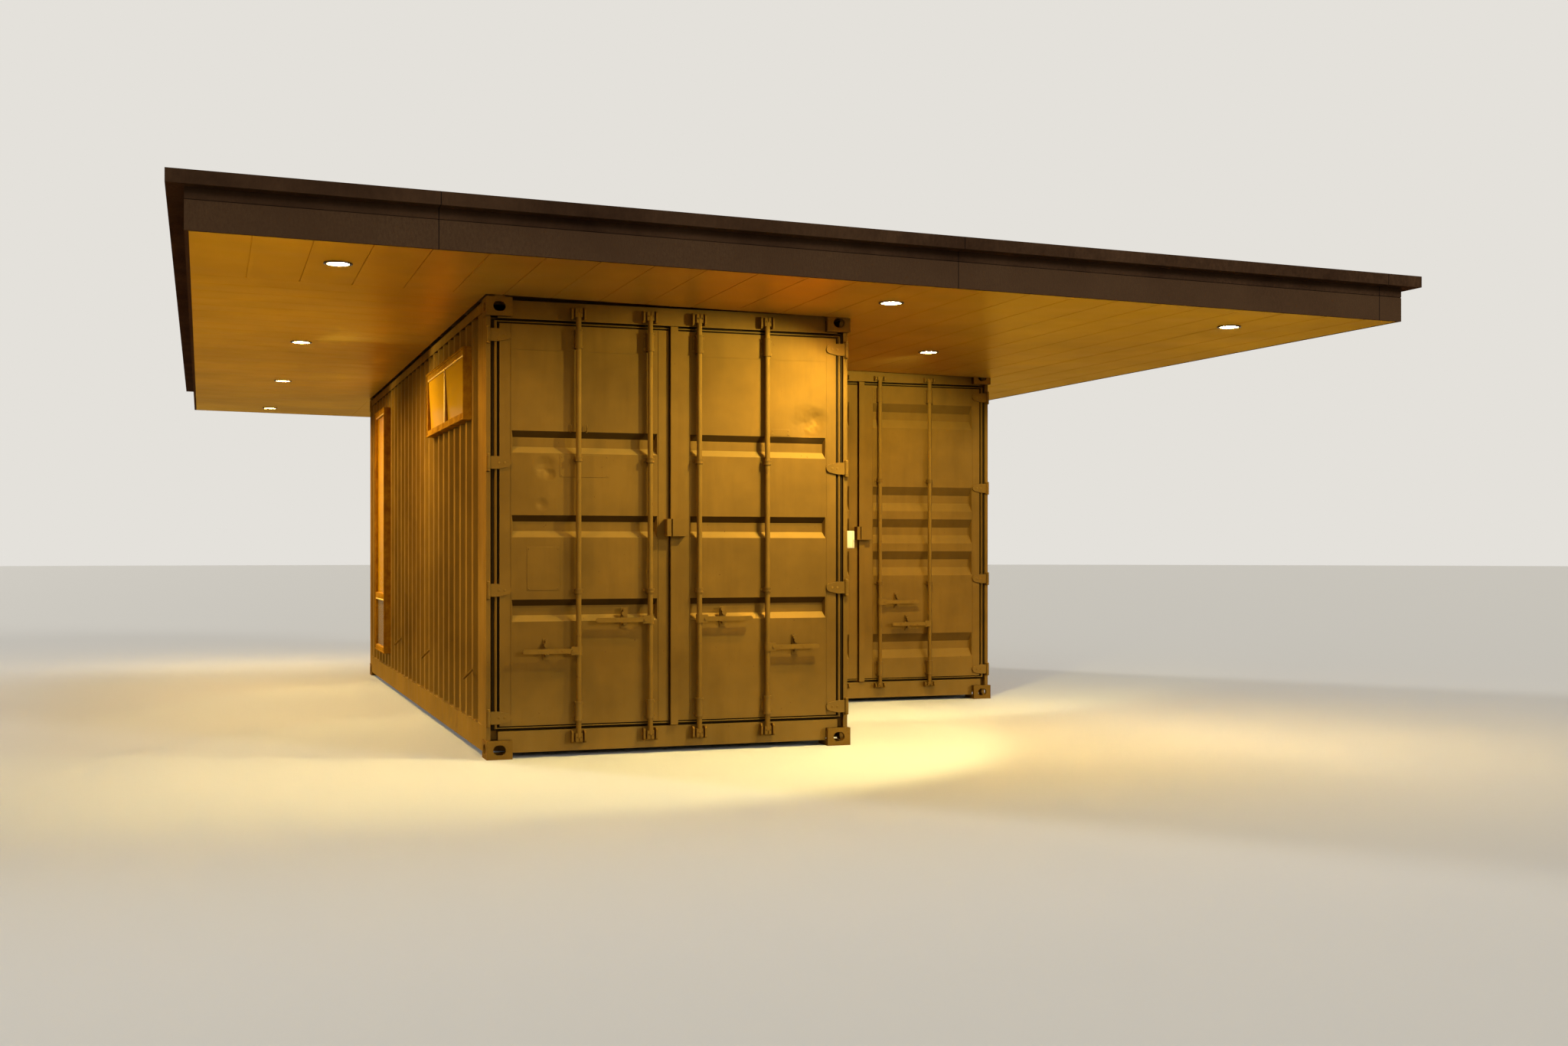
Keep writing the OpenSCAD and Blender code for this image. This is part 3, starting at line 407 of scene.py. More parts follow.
@dataclass(frozen=True)
class SealGrooveShade(Finish):
    """Extruded EPDM rubber of the door seals, drawn dark in the seal's groove as painted shade.

    The eye sees a dark brown strip in the groove beside the painted lip; its darkness is painted shade.
    """

    name: str = "epdm_rubber_painted_groove_shade"
    # dark tone of painted shade in the seal's groove
    body: str = "#33250f"
    shade: str = "#20180d"
    rough: float = 0.75

    def build(self, tree: NodeTree, shader: Node, where: NodeSocket) -> None:
        """Adds a faint cloud of 90 mm.

        Args:
            tree: The material's node tree.
            shader: Its Principled shader.
            where: The place on the object.
        """
        two_tones(tree, shader, {"Vector": where, "Scale": 11.0, "Detail": 4.0}, self.body, self.shade)
        shader.inputs["Roughness"].default_value = self.rough
        own_sheen(shader, 0.0, "#8a6a3a")


@dataclass(frozen=True)
class WindowSteel(Finish):
    """Rolled steel window casing in an orange-brown weathered coat.

    The eye sees a warm rusty orange, mottled at hand size, with darker runs down its faces.
    """

    name: str = "rolled_steel_weathered_orange"
    body: str = "#b57d1a"
    shade: str = "#8d5a11"
    run: str = "#552e07"
    # dust on the sills, and a painted highlight of their lit tops
    dust: str = "#d0963a"
    rough: float = 0.6
    sheen: float = 0.14
    sheen_tint: str = "#d89a30"
    skin: float = 0.0012

    def build(self, tree: NodeTree, shader: Node, where: NodeSocket) -> None:
        """Adds a mottling of 110 mm, runs, and dust on the sills that is also a painted highlight.

        Args:
            tree: The material's node tree.
            shader: Its Principled shader.
            where: The place on the object.
        """
        cloud = add_node(tree, "ShaderNodeTexNoise", None,
                         {"Vector": where, "Scale": 9.0, "Detail": 6.0, "Roughness": 0.68}).outputs["Fac"]
        coat = lay_over(tree, linear(self.body), self.shade, cloud, 0.35, 0.65)
        # runs 17 mm wide and 300 mm long
        drawn = add_node(tree, "ShaderNodeMapping", None, {"Vector": where, "Scale": (60.0, 60.0, 3.0)})
        rain = add_node(tree, "ShaderNodeTexNoise", None,
                        {"Vector": drawn.outputs["Vector"], "Scale": 1.0, "Detail": 4.0}).outputs["Fac"]
        coat = lay_over(tree, coat, self.run, rain, 0.55, 0.8, 0.5)
        # dust on the sills, lighter on faces that look up as a painted highlight too
        facing = add_node(tree, "ShaderNodeNewGeometry").outputs["Normal"]
        upward = add_node(tree, "ShaderNodeSeparateXYZ", None, {"Vector": facing}).outputs["Z"]
        coat = lay_over(tree, coat, self.dust, upward, 0.6, 0.95, 0.7)
        tree.links.new(coat, shader.inputs["Base Color"])
        shader.inputs["Roughness"].default_value = self.rough
        own_sheen(shader, self.sheen, self.sheen_tint)
        raise_skin(tree, shader, cloud, self.skin)


@dataclass(frozen=True)
class FloatGlass(Finish):
    """Float glass in sealed panes.

    The eye sees a faint warm tint and a clean reflection, with the film behind it showing through.
    """

    name: str = "float_glass_polished"
    tint: str = "#c9922c"
    alpha: float = 0.05
    ior: float = 1.52
    shine: float = 0.2

    def build(self, tree: NodeTree, shader: Node, where: NodeSocket) -> None:
        """Adds smears of 170 mm to a thin clear pane.

        Args:
            tree: The material's node tree.
            shader: Its Principled shader.
            where: The place on the object.
        """
        smear = add_node(tree, "ShaderNodeTexNoise", None,
                         {"Vector": where, "Scale": 6.0, "Detail": 3.0}).outputs["Fac"]
        gloss = add_node(tree, "ShaderNodeMapRange", None,
                         {"Value": smear, "From Min": 0.45, "From Max": 0.75, "To Min": 0.08,
                          "To Max": 0.2}).outputs["Result"]
        tree.links.new(gloss, shader.inputs["Roughness"])
        shader.inputs["Specular IOR Level"].default_value = self.shine
        shader.inputs["Base Color"].default_value = linear(self.tint)
        shader.inputs["Alpha"].default_value = self.alpha
        shader.inputs["IOR"].default_value = self.ior


@dataclass(frozen=True)
class FrostedFilm(Finish):
    """Cast vinyl privacy film on the inside of the panes.

    The eye sees an even, soft golden tan that takes the shadows of the bars.
    """

    name: str = "vinyl_film_cast_tan"
    body: str = "#d8990e"
    shade: str = "#c4860b"
    rough: float = 0.6

    def build(self, tree: NodeTree, shader: Node, where: NodeSocket) -> None:
        """Adds a faint cloud of 300 mm.

        Args:
            tree: The material's node tree.
            shader: Its Principled shader.
            where: The place on the object.
        """
        two_tones(tree, shader, {"Vector": where, "Scale": 3.0, "Detail": 3.0}, self.body, self.shade)
        shader.inputs["Roughness"].default_value = self.rough
        own_sheen(shader, 0.0, "#e0a830")


@dataclass(frozen=True)
class AluminiumWithHighlight(Finish):
    """Extruded aluminium glazing bars, mill finished and dusty.

    The eye sees slim pale bars with a satin sheen; the pale tone is partly a painted highlight of their lit
    faces.
    """

    name: str = "aluminium_mill_with_painted_highlight"
    # pale aluminium, and partly a painted highlight of the bars' lit faces
    body: str = "#e2bd74"
    shade: str = "#c4964c"
    rough: float = 0.42
    sheen: float = 0.5
    sheen_tint: str = "#e6bf6e"

    def build(self, tree: NodeTree, shader: Node, where: NodeSocket) -> None:
        """Adds dust in patches of 50 mm.

        Args:
            tree: The material's node tree.
            shader: Its Principled shader.
            where: The place on the object.
        """
        two_tones(tree, shader, {"Vector": where, "Scale": 20.0, "Detail": 4.0}, self.body, self.shade)
        own_sheen(shader, self.sheen, self.sheen_tint)
        shader.inputs["Roughness"].default_value = self.rough


@dataclass(frozen=True)
class PlyFloor(Finish):
    """Sealed marine plywood, rotary cut.

    The eye sees long brown grain along the container and darker scuffs.
    """

    name: str = "marine_plywood_sealed"
    body: str = "#8d6a41"
    shade: str = "#5f4226"
    rough: float = 0.55

    def build(self, tree: NodeTree, shader: Node, where: NodeSocket) -> None:
        """Adds grain 6 mm wide and half a metre long.

        Args:
            tree: The material's node tree.
            shader: Its Principled shader.
            where: The place on the object.
        """
        drawn = add_node(tree, "ShaderNodeMapping", None, {"Vector": where, "Scale": (160.0, 2.0, 40.0)})
        two_tones(tree, shader,
                  {"Vector": drawn.outputs["Vector"], "Scale": 1.0, "Detail": 6.0, "Distortion": 0.4},
                  self.body, self.shade)
        shader.inputs["Roughness"].default_value = self.rough


@dataclass(frozen=True)
class MouldedWhite(Finish):
    """Polycarbonate outlet cover, moulded.

    The eye sees a warm white with a fine matt grain.
    """

    name: str = "polycarbonate_moulded_white"
    body: str = "#e8cf9b"
    shade: str = "#dcc087"
    rough: float = 0.45
    skin: float = 0.0001

    def build(self, tree: NodeTree, shader: Node, where: NodeSocket) -> None:
        """Adds a grain of 2 mm, coarser than real so that it shows.

        Args:
            tree: The material's node tree.
            shader: Its Principled shader.
            where: The place on the object.
        """
        grain = two_tones(tree, shader, {"Vector": where, "Scale": 500.0, "Detail": 2.0},
                          self.body, self.shade)
        shader.inputs["Roughness"].default_value = self.rough
        raise_skin(tree, shader, grain, self.skin)


@dataclass(frozen=True)
class SawnTimber(Finish):
    """Sawn softwood joists.

    The eye sees pale straw wood with darker grain lines across the roof.
    """

    name: str = "softwood_sawn"
    body: str = "#c09a63"
    shade: str = "#8f6a3c"
    rough: float = 0.75

    def build(self, tree: NodeTree, shader: Node, where: NodeSocket) -> None:
        """Adds grain 11 mm wide along the joists.

        Args:
            tree: The material's node tree.
            shader: Its Principled shader.
            where: The place on the object.
        """
        drawn = add_node(tree, "ShaderNodeMapping", None, {"Vector": where, "Scale": (1.5, 90.0, 90.0)})
        two_tones(tree, shader,
                  {"Vector": drawn.outputs["Vector"], "Scale": 1.0, "Detail": 5.0, "Distortion": 0.3},
                  self.body, self.shade)
        shader.inputs["Roughness"].default_value = self.rough


@dataclass(frozen=True)
class Membrane(Finish):
    """Rubber roofing sheet, calendered.

    The eye sees a flat charcoal with dust that has settled in pools.
    """

    name: str = "epdm_membrane_calendered"
    body: str = "#403d38"
    dust: str = "#6a6152"
    rough: float = 0.85
    skin: float = 0.0008

    def build(self, tree: NodeTree, shader: Node, where: NodeSocket) -> None:
        """Adds dust in pools about a metre wide, and the grain.

        Args:
            tree: The material's node tree.
            shader: Its Principled shader.
            where: The place on the object.
        """
        pools = add_node(tree, "ShaderNodeTexNoise", None,
                         {"Vector": where, "Scale": 0.9, "Detail": 6.0, "Roughness": 0.6}).outputs["Fac"]
        coat = lay_over(tree, linear(self.body), self.dust, pools, 0.42, 0.75, 0.45)
        tree.links.new(coat, shader.inputs["Base Color"])
        shader.inputs["Roughness"].default_value = self.rough
        # the rollers' grain, drawn at 11 mm, coarser than real so that it shows
        grain = add_node(tree, "ShaderNodeTexNoise", None,
                         {"Vector": where, "Scale": 90.0, "Detail": 3.0}).outputs["Fac"]
        raise_skin(tree, shader, grain, self.skin)


@dataclass(frozen=True)
class SoffitSheet(Finish):
    """Aluminium soffit boards, coil coated in a satin bronze tan.

    The eye sees smooth boards with a soft sheen that waves where the sheet bellies.
    """

    name: str = "aluminium_coil_coated_bronze_tan"
    body: str = "#e8bf50"
    shade: str = "#cfa644"
    rough: float = 0.34
    sheen: float = 0.7
    sheen_tint: str = "#e6b43c"
    belly: float = 0.009

    def build(self, tree: NodeTree, shader: Node, where: NodeSocket) -> None:
        """Adds the coat's drift over 1.2 m and the boards' bellies.

        Args:
            tree: The material's node tree.
            shader: Its Principled shader.
            where: The place on the object.
        """
        cloud = add_node(tree, "ShaderNodeTexNoise", None,
                         {"Vector": where, "Scale": 0.8, "Detail": 3.0}).outputs["Fac"]
        coat = lay_over(tree, linear(self.body), self.shade, cloud, 0.35, 0.65)
        tree.links.new(coat, shader.inputs["Base Color"])
        own_sheen(shader, self.sheen, self.sheen_tint)
        shader.inputs["Roughness"].default_value = self.rough
        # bellies of about 400 mm, a board and a half
        belly = add_node(tree, "ShaderNodeTexNoise", None,
                         {"Vector": where, "Scale": 2.6, "Detail": 1.0}).outputs["Fac"]
        raise_skin(tree, shader, belly, self.belly)


@dataclass(frozen=True)
class FasciaSteel(Finish):
    """Folded steel fascia and cap with an oil-rubbed patina.

    The eye sees a granular grey-brown lower board, a smoother dark brown one above it, and butt joints.
    """

    name: str = "folded_steel_oiled_patina"
    grey: str = "#5c452f"
    brown: str = "#4a3524"
    dark: str = "#2e1e14"
    gap: str = "#1d1511"
    sheen: float = 0.3
    sheen_tint: str = "#c39d78"
    skin: float = 0.0012
    near_side_x: float = -2.0175
    lower_board: float = 0.157
    joint_pitch: float = 3.048
    joint_x: float = -2.5015
    joint_width: float = 0.005

    def build(self, tree: NodeTree, shader: Node, where: NodeSocket) -> None:
        """Adds the patina by board and the joints.

        Args:
            tree: The material's node tree.
            shader: Its Principled shader.
            where: The place on the object.
        """
        split = add_node(tree, "ShaderNodeSeparateXYZ", None, {"Vector": where})
        across = split.outputs["X"]
        # height above the soffit's underside, which falls to the right
        slope = add_node(tree, "ShaderNodeMath", {"operation": "MULTIPLY_ADD"},
                         {0: across, 1: ROOF_FALL, 2: split.outputs["Z"]}).outputs[0]
        offset = SOFFIT_LOW + self.near_side_x * ROOF_FALL + self.lower_board
        upper = add_node(tree, "ShaderNodeMath", {"operation": "GREATER_THAN"},
                         {0: slope, 1: offset}).outputs[0]
        # grains of 15 mm drawn down the face to 30 mm
        drawn = add_node(tree, "ShaderNodeMapping", None, {"Vector": where, "Scale": (70.0, 70.0, 34.0)})
        grain = add_node(tree, "ShaderNodeTexNoise", None,
                         {"Vector": drawn.outputs["Vector"], "Scale": 1.0, "Detail": 4.0,
                          "Roughness": 0.75}).outputs["Fac"]
        speck = add_node(tree, "ShaderNodeMapRange", None,
                         {"Value": grain, "From Min": 0.36, "From Max": 0.64}).outputs["Result"]
        mottled = add_node(tree, "ShaderNodeMix", {"data_type": "RGBA"},
                           {0: speck, 6: linear(self.brown), 7: linear(self.grey)}).outputs[2]
        # clouds of half a metre, where the oil took unevenly
        cloud = add_node(tree, "ShaderNodeTexNoise", None,
                         {"Vector": where, "Scale": 2.0, "Detail": 5.0, "Roughness": 0.65}).outputs["Fac"]
        tone = add_node(tree, "ShaderNodeMapRange", None,
                        {"Value": cloud, "From Min": 0.35, "From Max": 0.7, "To Max": 0.8}).outputs["Result"]
        mottled = add_node(tree, "ShaderNodeMix", {"data_type": "RGBA"},
                           {0: tone, 6: mottled, 7: linear(self.brown)}).outputs[2]
        smooth = add_node(tree, "ShaderNodeMix", {"data_type": "RGBA"},
                          {0: tone, 6: linear(self.brown), 7: linear(self.dark)}).outputs[2]
        coat = add_node(tree, "ShaderNodeMix", {"data_type": "RGBA"},
                        {0: upper, 6: mottled, 7: smooth}).outputs[2]
        # butt joints between lengths of ten feet
        run = add_node(tree, "ShaderNodeMath", {"operation": "SUBTRACT"},
                       {0: across, 1: self.joint_x}).outputs[0]
        turn = add_node(tree, "ShaderNodeMath", {"operation": "FLOORED_MODULO"},
                        {0: run, 1: self.joint_pitch}).outputs[0]
        joint = add_node(tree, "ShaderNodeMath", {"operation": "LESS_THAN"},
                         {0: turn, 1: self.joint_width}).outputs[0]
        coat = add_node(tree, "ShaderNodeMix", {"data_type": "RGBA"},
                        {0: joint, 6: coat, 7: linear(self.gap)}).outputs[2]
        tree.links.new(coat, shader.inputs["Base Color"])
        own_sheen(shader, self.sheen, self.sheen_tint)
        gloss = add_node(tree, "ShaderNodeMapRange", None,
                         {"Value": speck, "To Min": 0.5, "To Max": 0.7}).outputs["Result"]
        tree.links.new(gloss, shader.inputs["Roughness"])
        raise_skin(tree, shader, grain, self.skin)


@dataclass(frozen=True)
class TrimMetal(Finish):
    """Pressed aluminium downlight ring in powder-coated bronze.

    The eye sees a dark satin ring against the soffit.
    """

    name: str = "aluminium_pressed_bronze_coat"
    body: str = "#4a3c2e"
    shade: str = "#392d22"
    rough: float = 0.4
    metal: float = 0.4

    def build(self, tree: NodeTree, shader: Node, where: NodeSocket) -> None:
        """Adds the powder's grain, drawn at 2.5 mm so that it shows.

        Args:
            tree: The material's node tree.
            shader: Its Principled shader.
            where: The place on the object.
        """
        two_tones(tree, shader, {"Vector": where, "Scale": 400.0, "Detail": 2.0}, self.body, self.shade)
        shader.inputs["Roughness"].default_value = self.rough
        shader.inputs["Metallic"].default_value = self.metal


@dataclass(frozen=True)
class LitLens(Finish):
    """Opal acrylic lens with warm light-emitting diodes behind it.

    The eye sees a disc of warm white light with a faint speckle.
    """

    name: str = "opal_acrylic_moulded_lit"
    body: str = "#fff0d2"
    bright: str = "#ffe08c"
    dim: str = "#ffd67c"
    rough: float = 0.35
    glow: float = 1050.0

    def build(self, tree: NodeTree, shader: Node, where: NodeSocket) -> None:
        """Adds the warm glow with a speckle of diodes 17 mm apart.

        Args:
            tree: The material's node tree.
            shader: Its Principled shader.
            where: The place on the object.
        """
        speckle = add_node(tree, "ShaderNodeTexNoise", None,
                           {"Vector": where, "Scale": 60.0, "Detail": 1.0}).outputs["Fac"]
        warm = add_node(tree, "ShaderNodeMix", {"data_type": "RGBA"},
                        {0: speckle, 6: linear(self.bright), 7: linear(self.dim)}).outputs[2]
        shader.inputs["Base Color"].default_value = linear(self.body)
        shader.inputs["Roughness"].default_value = self.rough
        tree.links.new(warm, shader.inputs["Emission Color"])
        shader.inputs["Emission Strength"].default_value = self.glow


PAINT = SprayedPaint(dents=(
    Dent((0.1185, -4.213, 2.150), 0.15, 0.013),
    Dent((0.20, -4.213, 2.195), 0.09, 0.009),
    Dent((-1.6335, -4.213, 1.835), 0.09, 0.008),
    Dent((-1.61, -4.213, 1.79), 0.045, 0.005),
    Dent((-1.66, -4.213, 1.600), 0.05, 0.003),
))
STEEL = WornSteel()
SEAL = SealGrooveShade()
WINDOW = WindowSteel()
GLASS = FloatGlass()
FILM = FrostedFilm()
# a darker film for the small low pane of the tall window
LOW_PANE_FILM = FrostedFilm("vinyl_film_cast_darker", "#a07c48", "#80623a")
BARS = AluminiumWithHighlight()
WHITE = MouldedWhite()
RUBBER = Membrane()
TRIM = TrimMetal()
CAD_FINISHES: dict[Slot, Finish] = {
    Slot.CONTAINER_PAINT: PAINT,
    Slot.FITTING_STEEL: STEEL,
    Slot.FLOOR_PLYWOOD: PlyFloor(),
    Slot.WINDOW_PAINT: WINDOW,
    Slot.WINDOW_GLASS: GLASS,
    Slot.WHITE_PLASTIC: WHITE,
    Slot.TIMBER: SawnTimber(),
    Slot.ROOF_MEMBRANE: RUBBER,
    Slot.SOFFIT_METAL: SoffitSheet(),
    Slot.FASCIA_METAL: FasciaSteel(),
    Slot.LIGHT_TRIM: TRIM,
    Slot.LIGHT_LENS: LitLens(),
}


def rank(face: BMFace, count: int) -> int:
    """Ranks a face by its three lowest corners, which are the same at each run.

    Args:
        face: The face.
        count: Number of points in its mesh.

    Returns:
        The rank.
    """
    one, two, three = sorted(corner.index for corner in face.verts)[:3]
    return (one * count + two) * count + three


class Piece:
    """One piece of the scene while its mesh is being made."""

    def __init__(self, name: str, finish: Finish, slot: Slot, body: str) -> None:
        """Starts an empty piece.

        Args:
            name: The object's name.
            finish: What it is made of.
            slot: The record's slot that the finish stands for.
            body: The CAD body that carries it.
        """
        self.name = name
        self.finish = finish
        self.slot = slot
        self.body = body
        self.bm = bmesh.new()

    def slab(self, low: Sequence[float], high: Sequence[float], bevel: float = 0.0,
             segments: int = 1) -> None:
        """Adds a block with softened edges.

        Args:
            low: Lowest corner.
            high: Highest corner.
            bevel: Width of the softened edges.
            segments: Steps across each softened edge.
        """
        middle = (Vector(low) + Vector(high)) / 2
        size = Vector(high) - Vector(low)
        place = Matrix.Translation(middle) @ Matrix.Diagonal((*size, 1.0))
        made = bmesh.ops.create_cube(self.bm, size=1.0, matrix=place)
        if bevel > 0.0:
            edges = list(dict.fromkeys(edge for vert in made["verts"] for edge in vert.link_edges))
            bmesh.ops.bevel(self.bm, geom=edges, offset=bevel, segments=segments, affect="EDGES", profile=0.5)

    def turned(self, profile: Sequence[tuple[float, float]], place: Matrix, sides: int,
               ring: bool = False) -> None:
        """Adds a turned form.

        Args:
            profile: Radius and height of each ring, from the foot to the crown.
            place: Where its foot stands, with its axis along the place's own Z.
            sides: Number of flats.
            ring: Whether the profile closes on itself, as for a ring with an open middle.
        """
        rings = []
        for radius, height in profile:
            if radius < 1e-6:
                rings.append([self.bm.verts.new(place @ Vector((0.0, 0.0, height)))])
                continue
            loop = []
            for i in range(sides):
                angle = 2.0 * math.pi * i / sides
                loop.append(self.bm.verts.new(
                    place @ Vector((radius * math.cos(angle), radius * math.sin(angle), height))))
            rings.append(loop)
        pairs = list(zip(rings, rings[1:]))
        if ring:
            pairs.append((rings[-1], rings[0]))
        for low, high in pairs:
            for i in range(sides):
                j = (i + 1) % sides
                corners = [low[i % len(low)], low[j % len(low)], high[j % len(high)], high[i % len(high)]]
                unique = list(dict.fromkeys(corners))
                if len(unique) >= 3:
                    self.bm.faces.new(unique)

    def mitred(self, corners: Sequence[Vector], inward: Sequence[Vector], depth: Vector,
               profile: Sequence[tuple[float, float]], closed: bool) -> None:
        """Adds a strip of one section round a frame, with mitred corners.

        Args:
            corners: The frame's outer corners in order.
            inward: At each corner, the step across the strip's whole width.
            depth: The direction out of the frame's plane.
            profile: Share of the width and distance along depth, round the closed section.
            closed: Whether the strip goes all the way round.
        """
        rings = [[self.bm.verts.new(corner + step * share + depth * out) for share, out in profile]
                 for corner, step in zip(corners, inward)]
        count = len(profile)
        pairs = list(zip(rings, rings[1:]))
        if closed:
            pairs.append((rings[-1], rings[0]))
        else:
            self.bm.faces.new(rings[0])
            self.bm.faces.new(rings[-1][::-1])
        for one, two in pairs:
            for i in range(count):
                j = (i + 1) % count
                self.bm.faces.new((one[i], one[j], two[j], two[i]))

    def bead(self, points: Sequence[Vector], radius: float, sides: int = 5) -> None:
        """Adds a round bead along a line.

        Args:
            points: The bead's centre line.
            radius: Its radius.
            sides: Number of flats.
        """
        rings = []
        for i, point in enumerate(points):
            ahead = points[min(i + 1, len(points) - 1)] - points[max(i - 1, 0)]
            along = ahead.normalized()
            side = along.cross(Vector((0.0, 0.0, 1.0)))
            if side.length < 1e-4:
                side = along.cross(Vector((1.0, 0.0, 0.0)))
            side.normalize()
            rise = side.cross(along)
            rings.append([self.bm.verts.new(point + radius * (
                side * math.cos(2.0 * math.pi * k / sides) + rise * math.sin(2.0 * math.pi * k / sides)))
                for k in range(sides)])
        self.bm.faces.new(rings[0])
        self.bm.faces.new(rings[-1][::-1])
        for one, two in zip(rings, rings[1:]):
            for k in range(sides):
                j = (k + 1) % sides
                self.bm.faces.new((one[k], one[j], two[j], two[k]))

    def done(self, smooth: bool = True) -> Object:
        """Turns the mesh into an object that rides on its body.

        Args:
            smooth: Whether faces that meet at a shallow angle are shaded as one.

        Returns:
            The object.
        """
        bmesh.ops.recalc_face_normals(self.bm, faces=self.bm.faces[:])
        # softened edges leave the faces in another order at each run
        self.bm.verts.index_update()
        count = len(self.bm.verts)
        self.bm.faces.sort(key=lambda face: rank(face, count))
        mesh = bpy.data.meshes.new(self.name)
        self.bm.to_mesh(mesh)
        self.bm.free()
        if smooth:
            for face in mesh.polygons:
                face.use_smooth = True
            mesh.set_sharp_from_angle(angle=SMOOTH_ANGLE)
        mesh.materials.append(self.finish.material())
        made = bpy.data.objects.new(self.name, mesh)
        bpy.context.scene.collection.objects.link(made)
        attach(made, self.body)
        LOG.info("%s: %d faces on %s", self.name, len(mesh.polygons), self.body)
        return made


@dataclass(frozen=True)
class Container:
    """One container by the place of its front left bottom corner."""

    name: str
    corner: Vector
    length: float

    def point(self, x: float, y: float, z: float, mirrored: bool = False) -> Vector:
        """Gives a place in the part's frame.

        Args:
            x: Distance from the container's side.
            y: Distance behind the castings' front face.
            z: Height.
            mirrored: Whether x counts from the right side.

        Returns:
            The place.
        """
        return self.corner + Vector((CONTAINER_WIDTH - x if mirrored else x, y, z))


NEAR = Container("near", Vector((-2.0175, -4.258, 0.0)), 7.620)
FAR = Container("far", Vector((0.4445, -1.428, 0.0)), 6.058)
FACING_OUT = Matrix.Rotation(math.radians(90.0), 4, "X")
FACING_RIGHT = Matrix.Rotation(math.radians(90.0), 4, "Y")
FACING_DOWN = Matrix.Rotation(math.pi, 4, "X")
# turned profiles, as radius and height
WASHER = ((0.009, 0.0), (0.009, 0.0015), (0.006, 0.0015))
HEX_HEAD = ((0.0068, 0.0012), (0.0068, 0.0058), (0.0055, 0.0068), (0.0, 0.0068))
RIVET = ((0.0045, 0.0), (0.0042, 0.0012), (0.0026, 0.0022), (0.0, 0.0026))
PLUG_WELD = ((0.0085, 0.0), (0.0078, 0.0012), (0.005, 0.0018), (0.0, 0.0014))
HOOK_FOOT = ((0.008, 0.0), (0.007, 0.0015), (0.0, 0.0022))
PIN_DOME = ((0.0095, 0.0), (0.0095, 0.0015), (0.0076, 0.0034), (0.0038, 0.0042), (0.0, 0.0044))
COVER_SCREW = ((0.004, 0.0), (0.004, 0.0004), (0.0022, 0.0006), (0.0, 0.0006))
BEZEL = ((0.0615, 0.0062), (0.0640, 0.0030), (0.0665, -0.0030), (0.0700, -0.0062), (0.0745, -0.0075),
         (0.0785, -0.0066), (0.0800, -0.0040), (0.0795, -0.0030), (0.0620, 0.0068))
# strip sections, as share of the strip's width and height
SEAL_PAD = ((0.02, 0.0), (0.02, 0.004), (0.12, 0.0065), (0.30, 0.0055), (0.72, 0.003), (0.80, 0.0055),
            (0.84, 0.003), (0.98, 0.003), (0.98, 0.0))
SEAL_LIP = ((0.32, 0.002), (0.33, 0.0080), (0.38, 0.0120), (0.45, 0.0150), (0.53, 0.0165), (0.61, 0.0155),
            (0.66, 0.0115), (0.68, 0.002))
CASING_LIP = ((0.0, 0.0), (0.0, 0.004), (0.2, 0.006), (0.8, 0.006), (1.0, 0.004), (1.0, 0.0))
# lines and sections as distance out, or inwards from the casing's face, and height
HOOK_WIRE = ((-0.001, 0.0), (0.010, 0.001), (0.015, 0.006), (0.016, 0.014), (0.016, 0.042))
SILL_STRIP = ((0.001, 0.0), (0.001, 0.004), (0.026, 0.014), (0.026, 0.0))


